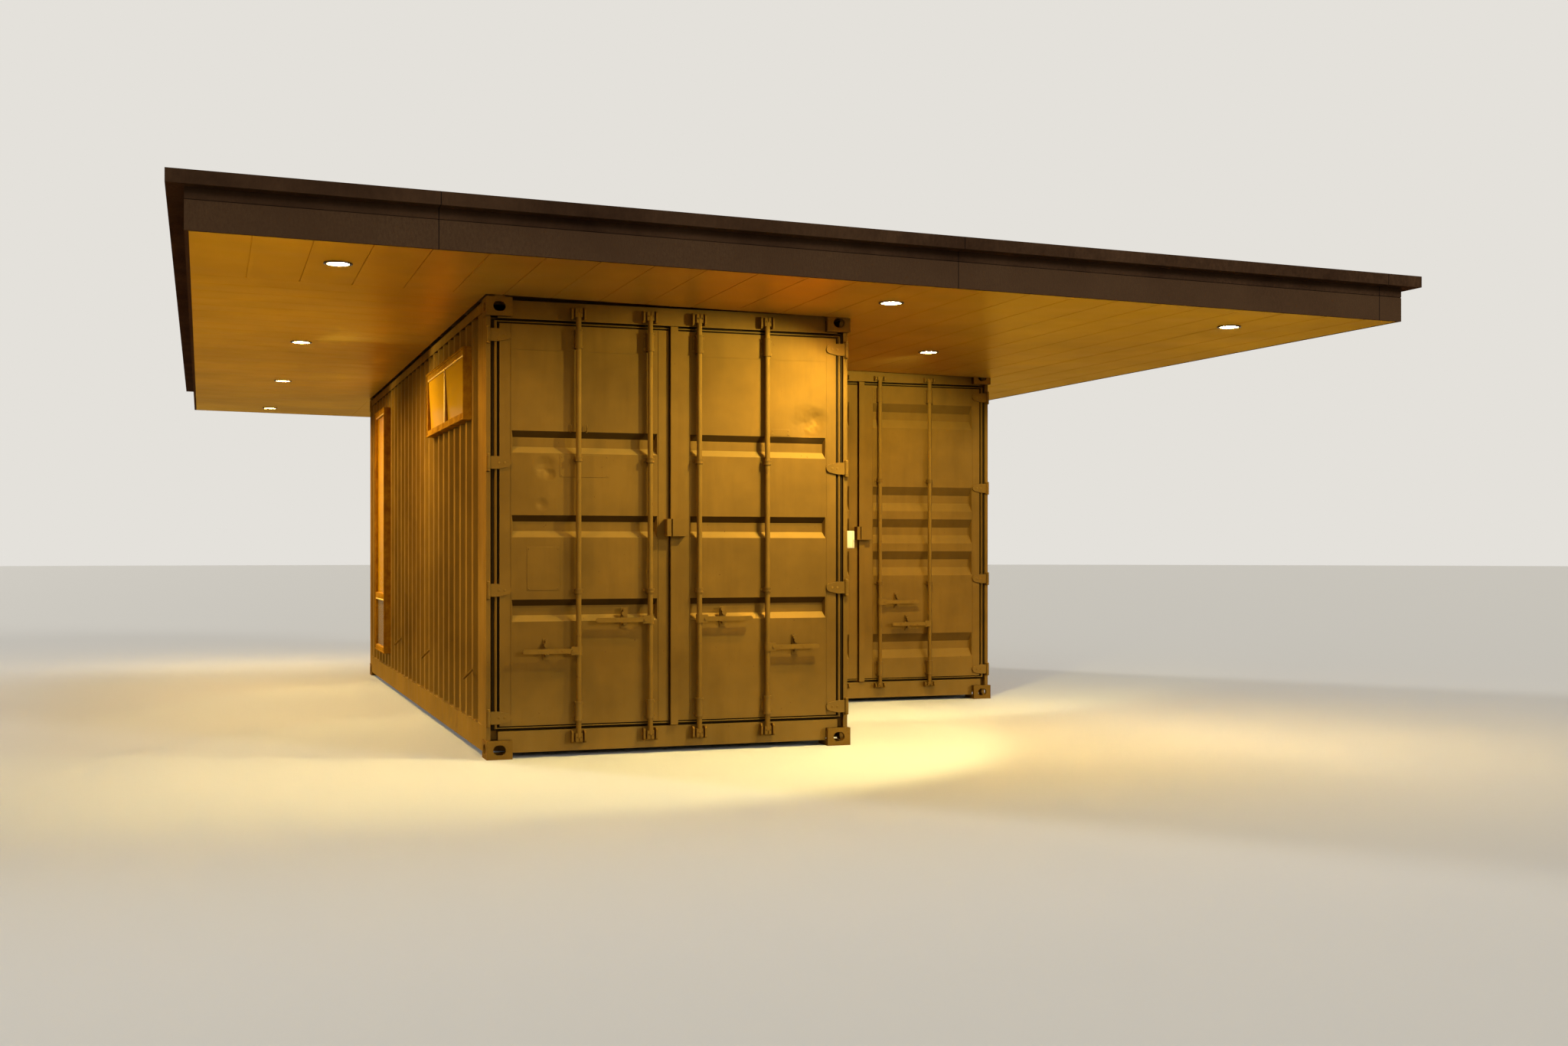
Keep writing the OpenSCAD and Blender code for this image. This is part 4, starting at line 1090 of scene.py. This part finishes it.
@dataclass
class DoorLeaf:
    """One cargo door: its rubber seal, its fasteners and the plates painted over on it."""

    container: Container
    mirrored: bool
    body: str
    guides: tuple[tuple[float, float], ...]
    end_x: float
    plates: tuple[tuple[float, float, float, float], ...] = ()
    hook_places: tuple[tuple[float, float], ...] = ()
    edge_x: float = 0.038
    seal_side: float = 0.050
    seal_end: float = 0.026
    rebate: float = 0.014
    rods: tuple[float, float] = (0.585, 1.054)
    flange: float = 0.031
    flange_t: float = 0.004
    bolt_inset: float = 0.018
    one_bolt_height: float = 0.06
    weld_x: tuple[float, float] = (0.082, 0.118)
    plate_t: float = 0.0022
    plate_edge: float = 0.0012
    rivet_inset: float = 0.012
    wire: float = 0.0035

    @property
    def label(self) -> str:
        """Names the door by its container and side."""
        return f"{self.container.name}_{'right' if self.mirrored else 'left'}"

    def at(self, x: float, y: float, z: float) -> Vector:
        """Gives a place on this door in the part's frame."""
        return self.container.point(x, y, z, self.mirrored)

    def seal(self) -> None:
        """Makes the seal in the rebate: a rubber pad with a groove, dark as painted shade, and a lip that
        took the paint.
        """
        floor = DOOR_FACE + self.rebate
        way = -1.0 if self.mirrored else 1.0
        ends = [(self.end_x, DOOR_LOW), (self.edge_x, DOOR_LOW), (self.edge_x, DOOR_HIGH),
                (self.end_x, DOOR_HIGH)]
        corners = [self.at(x, floor, z) for x, z in ends]
        across = Vector((way * self.seal_side, 0.0, 0.0))
        up = Vector((0.0, 0.0, self.seal_end))
        inward = [up, across + up, across - up, -up]
        # the dark pad is painted shade in the seal's groove
        for name, finish, section in (("seal_pad", SEAL, SEAL_PAD), ("seal_lip", PAINT, SEAL_LIP)):
            piece = Piece(f"{self.label}_door_{name}", finish, Slot.CONTAINER_PAINT, self.body)
            piece.mitred(corners, inward, Vector((0.0, -1.0, 0.0)), section, False)
            piece.done()

    def fasteners(self) -> None:
        """Makes the bolts on the rod guides and the plug welds on the hinge blades."""
        piece = Piece(f"{self.label}_door_bolts", STEEL, Slot.FITTING_STEEL, self.body)
        for rod in self.rods:
            for low, height in self.guides:
                levels = (low + self.bolt_inset, low + height - self.bolt_inset)
                if height <= self.one_bolt_height:
                    levels = (low + height / 2,)
                for level in levels:
                    for side in (-1.0, 1.0):
                        place = Matrix.Translation(
                            self.at(rod + side * self.flange, DOOR_FACE - self.flange_t, level))
                        piece.turned(WASHER, place @ FACING_OUT, 14)
                        piece.turned(HEX_HEAD, place @ FACING_OUT, 6)
        for level in HINGE_LEVELS:
            for x in self.weld_x:
                place = Matrix.Translation(self.at(x, PIN_Y, level))
                piece.turned(PLUG_WELD, place @ FACING_OUT, 12)
        piece.done()

    def painted_plates(self) -> None:
        """Makes the bare plates under the paint, each with a rivet near its corners."""
        if not self.plates:
            return
        piece = Piece(f"{self.label}_door_plates", PAINT, Slot.CONTAINER_PAINT, self.body)
        face = DOOR_FACE - self.plate_t
        inset = self.rivet_inset
        for low_x, low_z, high_x, high_z in self.plates:
            piece.slab(self.container.point(low_x, face, low_z),
                       self.container.point(high_x, DOOR_FACE, high_z), self.plate_edge)
            for x in (low_x + inset, high_x - inset):
                for z in (low_z + inset, high_z - inset):
                    place = Matrix.Translation(self.container.point(x, face, z))
                    piece.turned(RIVET, place @ FACING_OUT, 10)
        piece.done()

    def hooks(self) -> None:
        """Makes the bent wire hooks over the upper band."""
        if not self.hook_places:
            return
        piece = Piece(f"{self.label}_door_hooks", STEEL, Slot.FITTING_STEEL, self.body)
        for x, z in self.hook_places:
            points = [self.container.point(x, DOOR_FACE - out, z + up) for out, up in HOOK_WIRE]
            piece.bead(points, self.wire, 8)
            place = Matrix.Translation(self.container.point(x, DOOR_FACE, z))
            piece.turned(HOOK_FOOT, place @ FACING_OUT, 12)
        piece.done()

    def make(self) -> None:
        """Makes everything on this door."""
        self.seal()
        self.fasteners()
        self.painted_plates()
        self.hooks()


@dataclass
class HingePins:
    """Domed caps on the pins of a container's eight door hinges."""

    container: Container
    reach: float = 0.0535

    def make(self) -> None:
        """Makes the caps above and below every hinge."""
        piece = Piece(f"{self.container.name}_hinge_pin_caps", PAINT, Slot.CONTAINER_PAINT, "cabin")
        for mirrored in (False, True):
            for level in HINGE_LEVELS:
                top = Matrix.Translation(self.container.point(PIN_X, PIN_Y, level + self.reach, mirrored))
                low = Matrix.Translation(self.container.point(PIN_X, PIN_Y, level - self.reach, mirrored))
                piece.turned(PIN_DOME, top, 14)
                piece.turned(PIN_DOME, low @ FACING_DOWN, 14)
        piece.done()


@dataclass
class WallWelds:
    """Weld beads where a container's corrugated walls meet the rails."""

    container: Container
    pitch: float = 0.276
    crest: float = 0.072
    trough: float = 0.070
    depth: float = 0.036
    rail_top: float = 0.198
    roof_rail: float = 2.822
    post: float = 0.178
    rear_post: float = 0.162
    bead_radius: float = 0.004
    post_radius: float = 0.0044
    bite: float = 0.001
    waver: float = 0.002
    lift: float = 0.002
    steps: tuple[float, float] = (0.02, 0.09)

    def line(self, run: float) -> list[tuple[float, float]]:
        """Gives the wall's outer face as distance along it and depth behind its crests.

        Args:
            run: Length of the wall sheet.

        Returns:
            The corners of the corrugation.
        """
        slope = (self.pitch - self.crest - self.trough) / 2
        count = math.floor((run - 2 * self.crest) / self.pitch)
        start = (run - count * self.pitch - self.crest) / 2
        corners = [(0.0, 0.0)]
        for i in range(count):
            left = start + i * self.pitch
            corners += [(left + self.crest, 0.0), (left + self.crest + slope, self.depth),
                        (left + self.crest + slope + self.trough, self.depth), (left + self.pitch, 0.0)]
        return corners + [(run, 0.0)]

    def make(self) -> None:
        """Makes the uneven beads up the posts, then those along both side walls and the rear wall."""
        piece = Piece(f"{self.container.name}_wall_welds", PAINT, Slot.CONTAINER_PAINT, "cabin")
        length = self.container.length
        chance = random.Random(self.container.name)
        face = WALL_FACE - self.bite
        for mirrored in (False, True):
            for y in (self.post, length - self.post):
                z = self.rail_top
                points = []
                while z < self.roof_rail:
                    x = WALL_FACE + chance.uniform(-self.bite, self.waver)
                    along = y + chance.uniform(-self.waver, self.waver)
                    points.append(self.container.point(x, along, z, mirrored))
                    z += chance.uniform(*self.steps)
                piece.bead(points, self.post_radius, 6)
        for level in (self.rail_top + self.lift, self.roof_rail - self.lift):
            for mirrored in (False, True):
                piece.bead([self.container.point(face + out, self.post + along, level, mirrored)
                            for along, out in self.line(length - 2 * self.post)], self.bead_radius)
            piece.bead([self.container.point(self.rear_post + along, length - face - out, level)
                        for along, out in self.line(CONTAINER_WIDTH - 2 * self.rear_post)], self.bead_radius)
        piece.done()


@dataclass
class WindowUnit:
    """One window in the near container's left wall: casing edge, sills, bars, panes and film."""

    name: str
    place_y: float
    sill_z: float
    width: float
    height: float
    mullion_y: float = 0.0
    transom_z: float = 0.0
    set_top: float = 0.018
    set_low: float = 0.018
    bar: float = 0.045
    proud: float = 0.035
    lip_width: float = 0.012
    drip_out: float = 0.010
    drip_side: float = 0.008
    drip_back: float = 0.03
    drip_t: float = 0.003
    drip_soft: float = 0.001
    seat: float = 0.001
    head_bar: float = 0.013
    head_depth: float = 0.010
    head_soft: float = 0.0015
    cover: float = 0.030
    cover_soft: float = 0.002
    backing_set: float = 0.006
    backing_soft: float = 0.001
    transom_soft: float = 0.003
    glass: float = 0.004
    film_gap: float = 0.0005
    film: float = 0.001

    def panes(self) -> list[tuple[float, float, float, float]]:
        """Works out the openings that the panes fill.

        Returns:
            Low y, low z, high y and high z of each, in the near container's own frame.
        """
        low_y, high_y = self.place_y + self.bar, self.place_y + self.width - self.bar
        low_z, high_z = self.sill_z + self.bar, self.sill_z + self.height - self.bar
        if self.mullion_y:
            middle = self.place_y + self.mullion_y
            return [(low_y, low_z, middle, high_z), (middle + self.bar, low_z, high_y, high_z)]
        middle = self.sill_z + self.transom_z
        return [(low_y, low_z, high_y, middle), (low_y, middle + self.bar, high_y, high_z)]

    def sheet(self, piece: Piece, box: tuple[float, float, float, float], behind: float,
              thick: float) -> None:
        """Adds a sheet that fills a pane's opening and leans with the sash.

        Args:
            piece: The piece to add to.
            box: Low y, low z, high y and high z of the opening.
            behind: Distance of the sheet's face behind the sash's face.
            thick: Its thickness.
        """
        low_y, low_z, high_y, high_z = box
        rows = []
        for z, inset in ((low_z, self.set_low), (high_z, self.set_top)):
            face = -self.proud + inset + behind
            rows.append([[piece.bm.verts.new(NEAR.point(x, y, z)) for x in (face, face + thick)]
                         for y in (low_y, high_y)])
        low, high = rows
        for side in (0, 1):
            piece.bm.faces.new((low[0][side], low[1][side], high[1][side], high[0][side]))
            piece.bm.faces.new((low[side][0], low[side][1], high[side][1], high[side][0]))
        piece.bm.faces.new((low[0][0], low[0][1], low[1][1], low[1][0]))
        piece.bm.faces.new((high[0][0], high[0][1], high[1][1], high[1][0]))

    def casing_edge(self) -> None:
        """Makes the casing's rolled edge, its drip strip and a sill that falls outwards under each pane."""
        left, right = self.place_y, self.place_y + self.width
        low, top = self.sill_z, self.sill_z + self.height
        lip = self.lip_width
        edge = Piece(f"{self.name}_window_casing_edge", WINDOW, Slot.WINDOW_PAINT, "cabin")
        corners = [NEAR.point(-self.proud, y, z)
                   for y, z in ((left, low), (right, low), (right, top), (left, top))]
        inward = [Vector((0.0, y, z)) for y, z in ((lip, lip), (-lip, lip), (-lip, -lip), (lip, -lip))]
        edge.mitred(corners, inward, Vector((-1.0, 0.0, 0.0)), CASING_LIP, True)
        edge.slab(NEAR.point(-self.proud - self.drip_out, left - self.drip_side, top),
                  NEAR.point(self.drip_back, right + self.drip_side, top + self.drip_t), self.drip_soft)
        for low_y, low_z, high_y, _ in self.panes():
            verts = [edge.bm.verts.new(NEAR.point(-self.proud + out, y, low_z + up))
                     for y in (low_y, high_y) for out, up in SILL_STRIP]
            edge.bm.faces.new(verts[:4])
            edge.bm.faces.new(verts[:3:-1])
            for i in range(4):
                j = (i + 1) % 4
                edge.bm.faces.new((verts[i], verts[j], verts[4 + j], verts[4 + i]))
        edge.done()

    def bars(self) -> None:
        """Makes the glazing bars, pale partly as a painted highlight of their lit faces, and the steel bar
        between the panes.
        """
        low, high = self.sill_z + self.bar, self.sill_z + self.height - self.bar
        front = -self.proud + self.seat
        bars = Piece(f"{self.name}_window_glazing_bars", BARS, Slot.WINDOW_PAINT, "cabin")
        for low_y, _, high_y, high_z in self.panes():
            bars.slab(NEAR.point(front, low_y, high_z - self.head_bar),
                      NEAR.point(front + self.set_top + self.head_depth, high_y, high_z), self.head_soft, 2)
        middle_y = self.place_y + self.mullion_y + self.bar / 2
        middle_z = self.sill_z + self.transom_z + self.bar / 2
        if self.mullion_y:
            bars.slab(NEAR.point(front - self.seat, middle_y - self.cover / 2, low),
                      NEAR.point(self.seat, middle_y + self.cover / 2, high), self.cover_soft, 2)
        bars.done()
        backing = Piece(f"{self.name}_window_bar_backing", WINDOW, Slot.WINDOW_PAINT, "cabin")
        if self.mullion_y:
            backing.slab(NEAR.point(front + self.backing_set, middle_y - self.bar / 2, low),
                         NEAR.point(self.seat, middle_y + self.bar / 2, high), self.backing_soft)
        else:
            backing.slab(NEAR.point(front, self.place_y + self.bar, middle_z - self.bar / 2),
                         NEAR.point(self.seat, self.place_y + self.width - self.bar, middle_z + self.bar / 2),
                         self.transom_soft, 2)
        backing.done()

    def make(self) -> Object:
        """Makes the window's pieces.

        Returns:
            The glass, which stands for the window's share of the CAD panes.
        """
        self.casing_edge()
        self.bars()
        glass = Piece(f"{self.name}_window_panes", GLASS, Slot.WINDOW_GLASS, "cabin")
        for box in self.panes():
            self.sheet(glass, box, 0.0, self.glass)
        glazing = glass.done(smooth=False)
        for number, box in enumerate(self.panes(), 1):
            # the small pane under a transom is darker
            finish = LOW_PANE_FILM if self.transom_z and number == 1 else FILM
            film = Piece(f"{self.name}_window_film_{number}", finish, Slot.WINDOW_GLASS, "cabin")
            self.sheet(film, box, self.glass + self.film_gap, self.film)
            film.done(smooth=False)
        return glazing


@dataclass
class OutletBox:
    """The weatherproof outlet box on the near container's right side, with its hinged cover."""

    place_y: float = 0.050
    place_z: float = 1.323
    width: float = 0.070
    height: float = 0.118
    depth: float = 0.050
    wall_set: float = 0.004
    box_front: float = 0.016
    gasket_back: float = 0.017
    gasket_front: float = 0.012
    gasket_inset: float = 0.003
    cover_back: float = 0.013
    latch_low: float = 0.048
    latch_high: float = 0.070
    latch_back: float = 0.010
    latch_front: float = 0.002
    latch_out: float = 0.0035
    latch_in: float = 0.004
    screw_inset: float = 0.010
    screw_sink: float = 0.0005
    box_soft: float = 0.006
    gasket_soft: float = 0.001
    cover_soft: float = 0.005
    latch_soft: float = 0.0015

    def make(self) -> None:
        """Makes the box, its gasket, cover, latch and screws."""
        piece = Piece("outlet_box_cover", WHITE, Slot.WHITE_PLASTIC, "cabin")
        face = CONTAINER_WIDTH + self.depth
        low_y, high_y = self.place_y, self.place_y + self.width
        low_z, high_z = self.place_z, self.place_z + self.height
        inset = self.gasket_inset
        piece.slab(NEAR.point(CONTAINER_WIDTH - self.wall_set, low_y, low_z),
                   NEAR.point(face - self.box_front, high_y, high_z), self.box_soft, 3)
        piece.slab(NEAR.point(face - self.gasket_back, low_y + inset, low_z + inset),
                   NEAR.point(face - self.gasket_front, high_y - inset, high_z - inset), self.gasket_soft)
        piece.slab(NEAR.point(face - self.cover_back, low_y, low_z),
                   NEAR.point(face, high_y, high_z), self.cover_soft, 3)
        piece.slab(NEAR.point(face - self.latch_back, low_y - self.latch_out, low_z + self.latch_low),
                   NEAR.point(face - self.latch_front, low_y + self.latch_in, low_z + self.latch_high),
                   self.latch_soft, 2)
        for z in (low_z + self.screw_inset, high_z - self.screw_inset):
            place = Matrix.Translation(NEAR.point(face - self.screw_sink, (low_y + high_y) / 2, z))
            piece.turned(COVER_SCREW, place @ FACING_RIGHT, 12)
        made = piece.done()
        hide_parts("outlet_box")


@dataclass
class Downlight:
    """The reflector and bezel in a downlight's ring."""

    x: float
    y: float
    number: int

    def make(self) -> None:
        """Makes the bezel's rolled edge and the reflector up to the lens."""
        piece = Piece(f"downlight_bezel_{self.number}", TRIM, Slot.LIGHT_TRIM, "cabin")
        place = Matrix.Translation(NEAR.point(self.x, self.y, SOFFIT_LOW - ROOF_FALL * self.x))
        piece.turned(BEZEL, place, 48, ring=True)
        piece.done()


@dataclass
class RoofTop:
    """The roof's upper side: laps of the membrane between the cap's flanges."""

    low_x: float = -1.725
    high_x: float = 5.760
    low_y: float = -1.414
    last_y: float = 9.530
    deck_top: float = 0.262
    pitch: float = 1.22
    lap: float = 0.075
    rise: float = 0.003
    bite: float = 0.001
    near_ramp: float = 0.006
    far_ramp: float = 0.012

    def height(self, x: float) -> float:
        """Gives the deck's upper side at a place across the roof."""
        return SOFFIT_LOW - ROOF_FALL * x + self.deck_top

    def make(self) -> None:
        """Makes the laps, which run across the roof from side to side."""
        piece = Piece("roof_membrane_laps", RUBBER, Slot.ROOF_MEMBRANE, "cabin")
        place = self.low_y + self.pitch
        while place < self.last_y:
            rows = []
            for y, up in ((place, -self.bite), (place + self.near_ramp, self.rise),
                          (place + self.lap - self.far_ramp, self.rise), (place + self.lap, -self.bite)):
                rows.append([piece.bm.verts.new(NEAR.point(x, y, self.height(x) + up))
                             for x in (self.low_x, self.high_x)])
            for one, two in zip(rows, rows[1:]):
                piece.bm.faces.new((one[0], one[1], two[1], two[0]))
            piece.bm.faces.new([row[0] for row in rows])
            piece.bm.faces.new([row[1] for row in rows][::-1])
            piece.bm.faces.new((rows[0][0], rows[-1][0], rows[-1][1], rows[0][1]))
            place += self.pitch
        piece.done()


@dataclass
class Studio:
    """Camera at the photograph's angle, pale floor, soft lights and a pale surround."""

    camera_place: tuple[float, float, float] = (-3.6815, -14.558, 1.308)
    turn: float = -19.7
    lens: float = 37.8
    sensor: float = 36.0
    shift: tuple[float, float] = (-0.0054, 0.0176)
    farthest: float = 400.0
    floor_radius: float = 140.0
    floor_colour: str = "#dedad1"
    floor_bounce: str = "#857d70"
    floor_rough: float = 0.9
    surround: str = "#e4e1db"
    ambient: float = 0.21
    ambient_colour: str = "#fffaf0"
    lamp_away: float = 20.0
    glow_colour: str = "#f6f2b0"
    glow_angle: float = 108.0
    glow_blend: float = 0.35
    glow_size: float = 0.05

    def camera(self) -> None:
        """Makes the camera and sets it as the scene's own."""
        data = bpy.data.cameras.new("camera")
        data.lens = self.lens
        data.sensor_width = self.sensor
        data.sensor_fit = "HORIZONTAL"
        data.shift_x, data.shift_y = self.shift
        data.clip_end = self.farthest
        made = bpy.data.objects.new("camera", data)
        made.location = self.camera_place
        made.rotation_euler = (math.radians(90.0), 0.0, math.radians(self.turn))
        bpy.context.scene.collection.objects.link(made)
        bpy.context.scene.camera = made

    def shown(self, tree: NodeTree) -> NodeSocket:
        """Tells whether a surround is seen, also in a reflection or through glass, or only lights the cabin.

        Args:
            tree: The node tree of the floor or the world.

        Returns:
            A socket that is 1 where it is seen.
        """
        path = add_node(tree, "ShaderNodeLightPath")
        seen = add_node(tree, "ShaderNodeMath", {"operation": "MAXIMUM"},
                        {0: path.outputs["Is Camera Ray"], 1: path.outputs["Is Glossy Ray"]}).outputs[0]
        return add_node(tree, "ShaderNodeMath", {"operation": "MAXIMUM"},
                        {0: seen, 1: path.outputs["Is Transmission Ray"]}).outputs[0]

    def floor(self) -> None:
        """Makes the floor, a wide disc in the ground plane."""
        bm = bmesh.new()
        bmesh.ops.create_circle(bm, cap_ends=True, segments=96, radius=self.floor_radius)
        mesh = bpy.data.meshes.new("floor")
        bm.to_mesh(mesh)
        bm.free()
        made = bpy.data.objects.new("floor", mesh)
        bpy.context.scene.collection.objects.link(made)
        material = bpy.data.materials.new("floor_matt_pale")
        material.use_nodes = True
        tree = material.node_tree
        shader = tree.nodes["Principled BSDF"]
        shown = self.shown(tree)
        pale = add_node(tree, "ShaderNodeMix", {"data_type": "RGBA"},
                        {0: shown, 6: linear(self.floor_bounce), 7: linear(self.floor_colour)}).outputs[2]
        tree.links.new(pale, shader.inputs["Base Color"])
        shader.inputs["Roughness"].default_value = self.floor_rough
        mesh.materials.append(material)

    def lamp(self, name: str, side: tuple[float, float, float], strength: float, spread: float) -> None:
        """Makes one far, broad and soft lamp.

        Args:
            name: Its name.
            side: The direction that it stands in, seen from the cabin.
            strength: Its light on a surface that faces it, in watts a square metre.
            spread: The angle that it fills in the sky, in degrees.
        """
        data = bpy.data.lights.new(name, "SUN")
        data.energy = strength
        data.angle = math.radians(spread)
        made = bpy.data.objects.new(name, data)
        made.location = Vector(side) * self.lamp_away
        made.rotation_euler = (-Vector(side)).to_track_quat("-Z", "Y").to_euler()
        bpy.context.scene.collection.objects.link(made)

    def spot(self, name: str, place: Vector, target: Vector, power: float) -> None:
        """Makes one warm lamp under the roof, which carries a downlight's glow on to the doors.

        Args:
            name: Its name.
            place: Where it hangs.
            target: The place that it faces.
            power: Its power in watts.
        """
        data = bpy.data.lights.new(name, "SPOT")
        data.energy = power
        data.color = linear(self.glow_colour)[:3]
        data.spot_size = math.radians(self.glow_angle)
        data.spot_blend = self.glow_blend
        data.shadow_soft_size = self.glow_size
        made = bpy.data.objects.new(name, data)
        made.location = place
        made.visible_glossy = False
        made.rotation_euler = (target - place).to_track_quat("-Z", "Y").to_euler()
        bpy.context.scene.collection.objects.link(made)

    def world(self) -> None:
        """Makes the surround: soft ambient light, and a pale colour where it shows or reflects."""
        world = bpy.data.worlds.new("surround")
        world.use_nodes = True
        bpy.context.scene.world = world
        tree = world.node_tree
        tree.nodes.clear()
        seen = self.shown(tree)
        light = add_node(tree, "ShaderNodeBackground", None,
                         {"Color": linear(self.ambient_colour), "Strength": self.ambient})
        pale = add_node(tree, "ShaderNodeBackground", None, {"Color": linear(self.surround), "Strength": 1.0})
        mixed = add_node(tree, "ShaderNodeMixShader", None,
                         {0: seen, 1: light.outputs[0], 2: pale.outputs[0]})
        add_node(tree, "ShaderNodeOutputWorld", None, {"Surface": mixed.outputs[0]})

    def make(self) -> None:
        """Makes the studio."""
        self.camera()
        self.floor()
        self.world()
        for name, side, strength, spread in (
                ("key_softbox", (0.62, -0.74, 0.26), 1.05, 12.0),
                ("side_softbox", (-0.55, 0.82, 0.15), 2.4, 8.0),
                ("front_softbox", (-0.15, -0.98, 0.10), 0.2, 24.0),
                ("rear_softbox", (0.50, 0.38, 0.78), 1.05, 40.0)):
            self.lamp(name, side, strength, spread)
        for name, place, target, power in (
                ("near_door_spot", NEAR.point(2.45, -1.05, 2.80), NEAR.point(1.50, 0.0, 1.20), 245.0),
                ("far_door_spot", NEAR.point(3.65, 1.40, 2.78), FAR.point(1.2, 0.0, 1.5), 130.0),
                ("side_wall_spot", NEAR.point(-0.95, 2.96, 2.82), NEAR.point(0.0, 1.8, 1.8), 45.0),
                ("side_back_spot", NEAR.point(-0.95, 6.03, 2.82), NEAR.point(0.0, 4.9, 1.6), 38.0)):
            self.spot(name, place, target, power)


def finish_cad_nodes() -> None:
    """Gives every CAD node the finish of its slot."""
    for part in frame["record"]["subparts"]:
        node = frame["nodes"][part["node"]]
        finish = CAD_FINISHES[Slot(part["material_slot"])]
        node.data.materials.clear()
        node.data.materials.append(finish.material())
        LOG.info("%s: %s", part["node"], finish.name)


# low edge and height of each rod guide
NEAR_GUIDES = ((0.228, 0.120), (1.035, 0.030), (1.875, 0.030), (2.592, 0.120))
FAR_GUIDES = ((0.228, 0.120), (1.0105, 0.030), (1.8995, 0.030), (2.592, 0.120))
# low x, low z, high x and high z of the near doors' plates, x and z of the hooks
LEFT_PLATES = ((0.470, 1.775, 0.788, 1.917), (0.260, 1.055, 0.470, 1.332))
RIGHT_PLATES = ((1.888, 2.068, 2.021, 2.116),)
LEFT_HOOKS = ((0.540, 2.068), (0.643, 2.068))
# how far a leaf's seal reaches to the meeting gap, from the container's side where the leaf hangs
LEFT_END = 1.185
RIGHT_END = 1.243
# x and y of the downlights
LIGHT_PLACES = ((-0.95, -0.74), (-0.95, 2.96), (-0.95, 6.03), (-0.95, 9.21), (2.42, -0.74), (4.92, -0.74),
                (3.65, 1.40))


def main() -> None:
    """Builds the pieces in order."""
    logging.basicConfig(level=logging.INFO, format="%(message)s")
    bpy.context.scene.view_settings.view_transform = "Standard"
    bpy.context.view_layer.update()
    Studio().make()
    finish_cad_nodes()
    doors = (
        DoorLeaf(NEAR, False, "near_left_leaf", NEAR_GUIDES, LEFT_END, LEFT_PLATES, LEFT_HOOKS),
        DoorLeaf(NEAR, True, "near_right_leaf", NEAR_GUIDES, RIGHT_END, RIGHT_PLATES),
        DoorLeaf(FAR, False, "cabin", FAR_GUIDES, LEFT_END),
        DoorLeaf(FAR, True, "far_right_leaf", FAR_GUIDES, RIGHT_END),
    )
    for door in doors:
        door.make()
    for container in (NEAR, FAR):
        HingePins(container).make()
        WallWelds(container).make()
    high = WindowUnit("high", place_y=0.720, sill_z=2.180, width=1.905, height=0.480, mullion_y=0.930,
                      set_top=0.003, set_low=0.021).make()
    tall = WindowUnit("tall", place_y=5.810, sill_z=0.325, width=0.860, height=2.350, transom_z=0.515).make()
    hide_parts("window_panes")
    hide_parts("window_panes")
    OutletBox().make()
    for number, (x, y) in enumerate(LIGHT_PLACES, 1):
        Downlight(x, y, number).make()
    RoofTop().make()


if __name__ == "__main__":
    main()
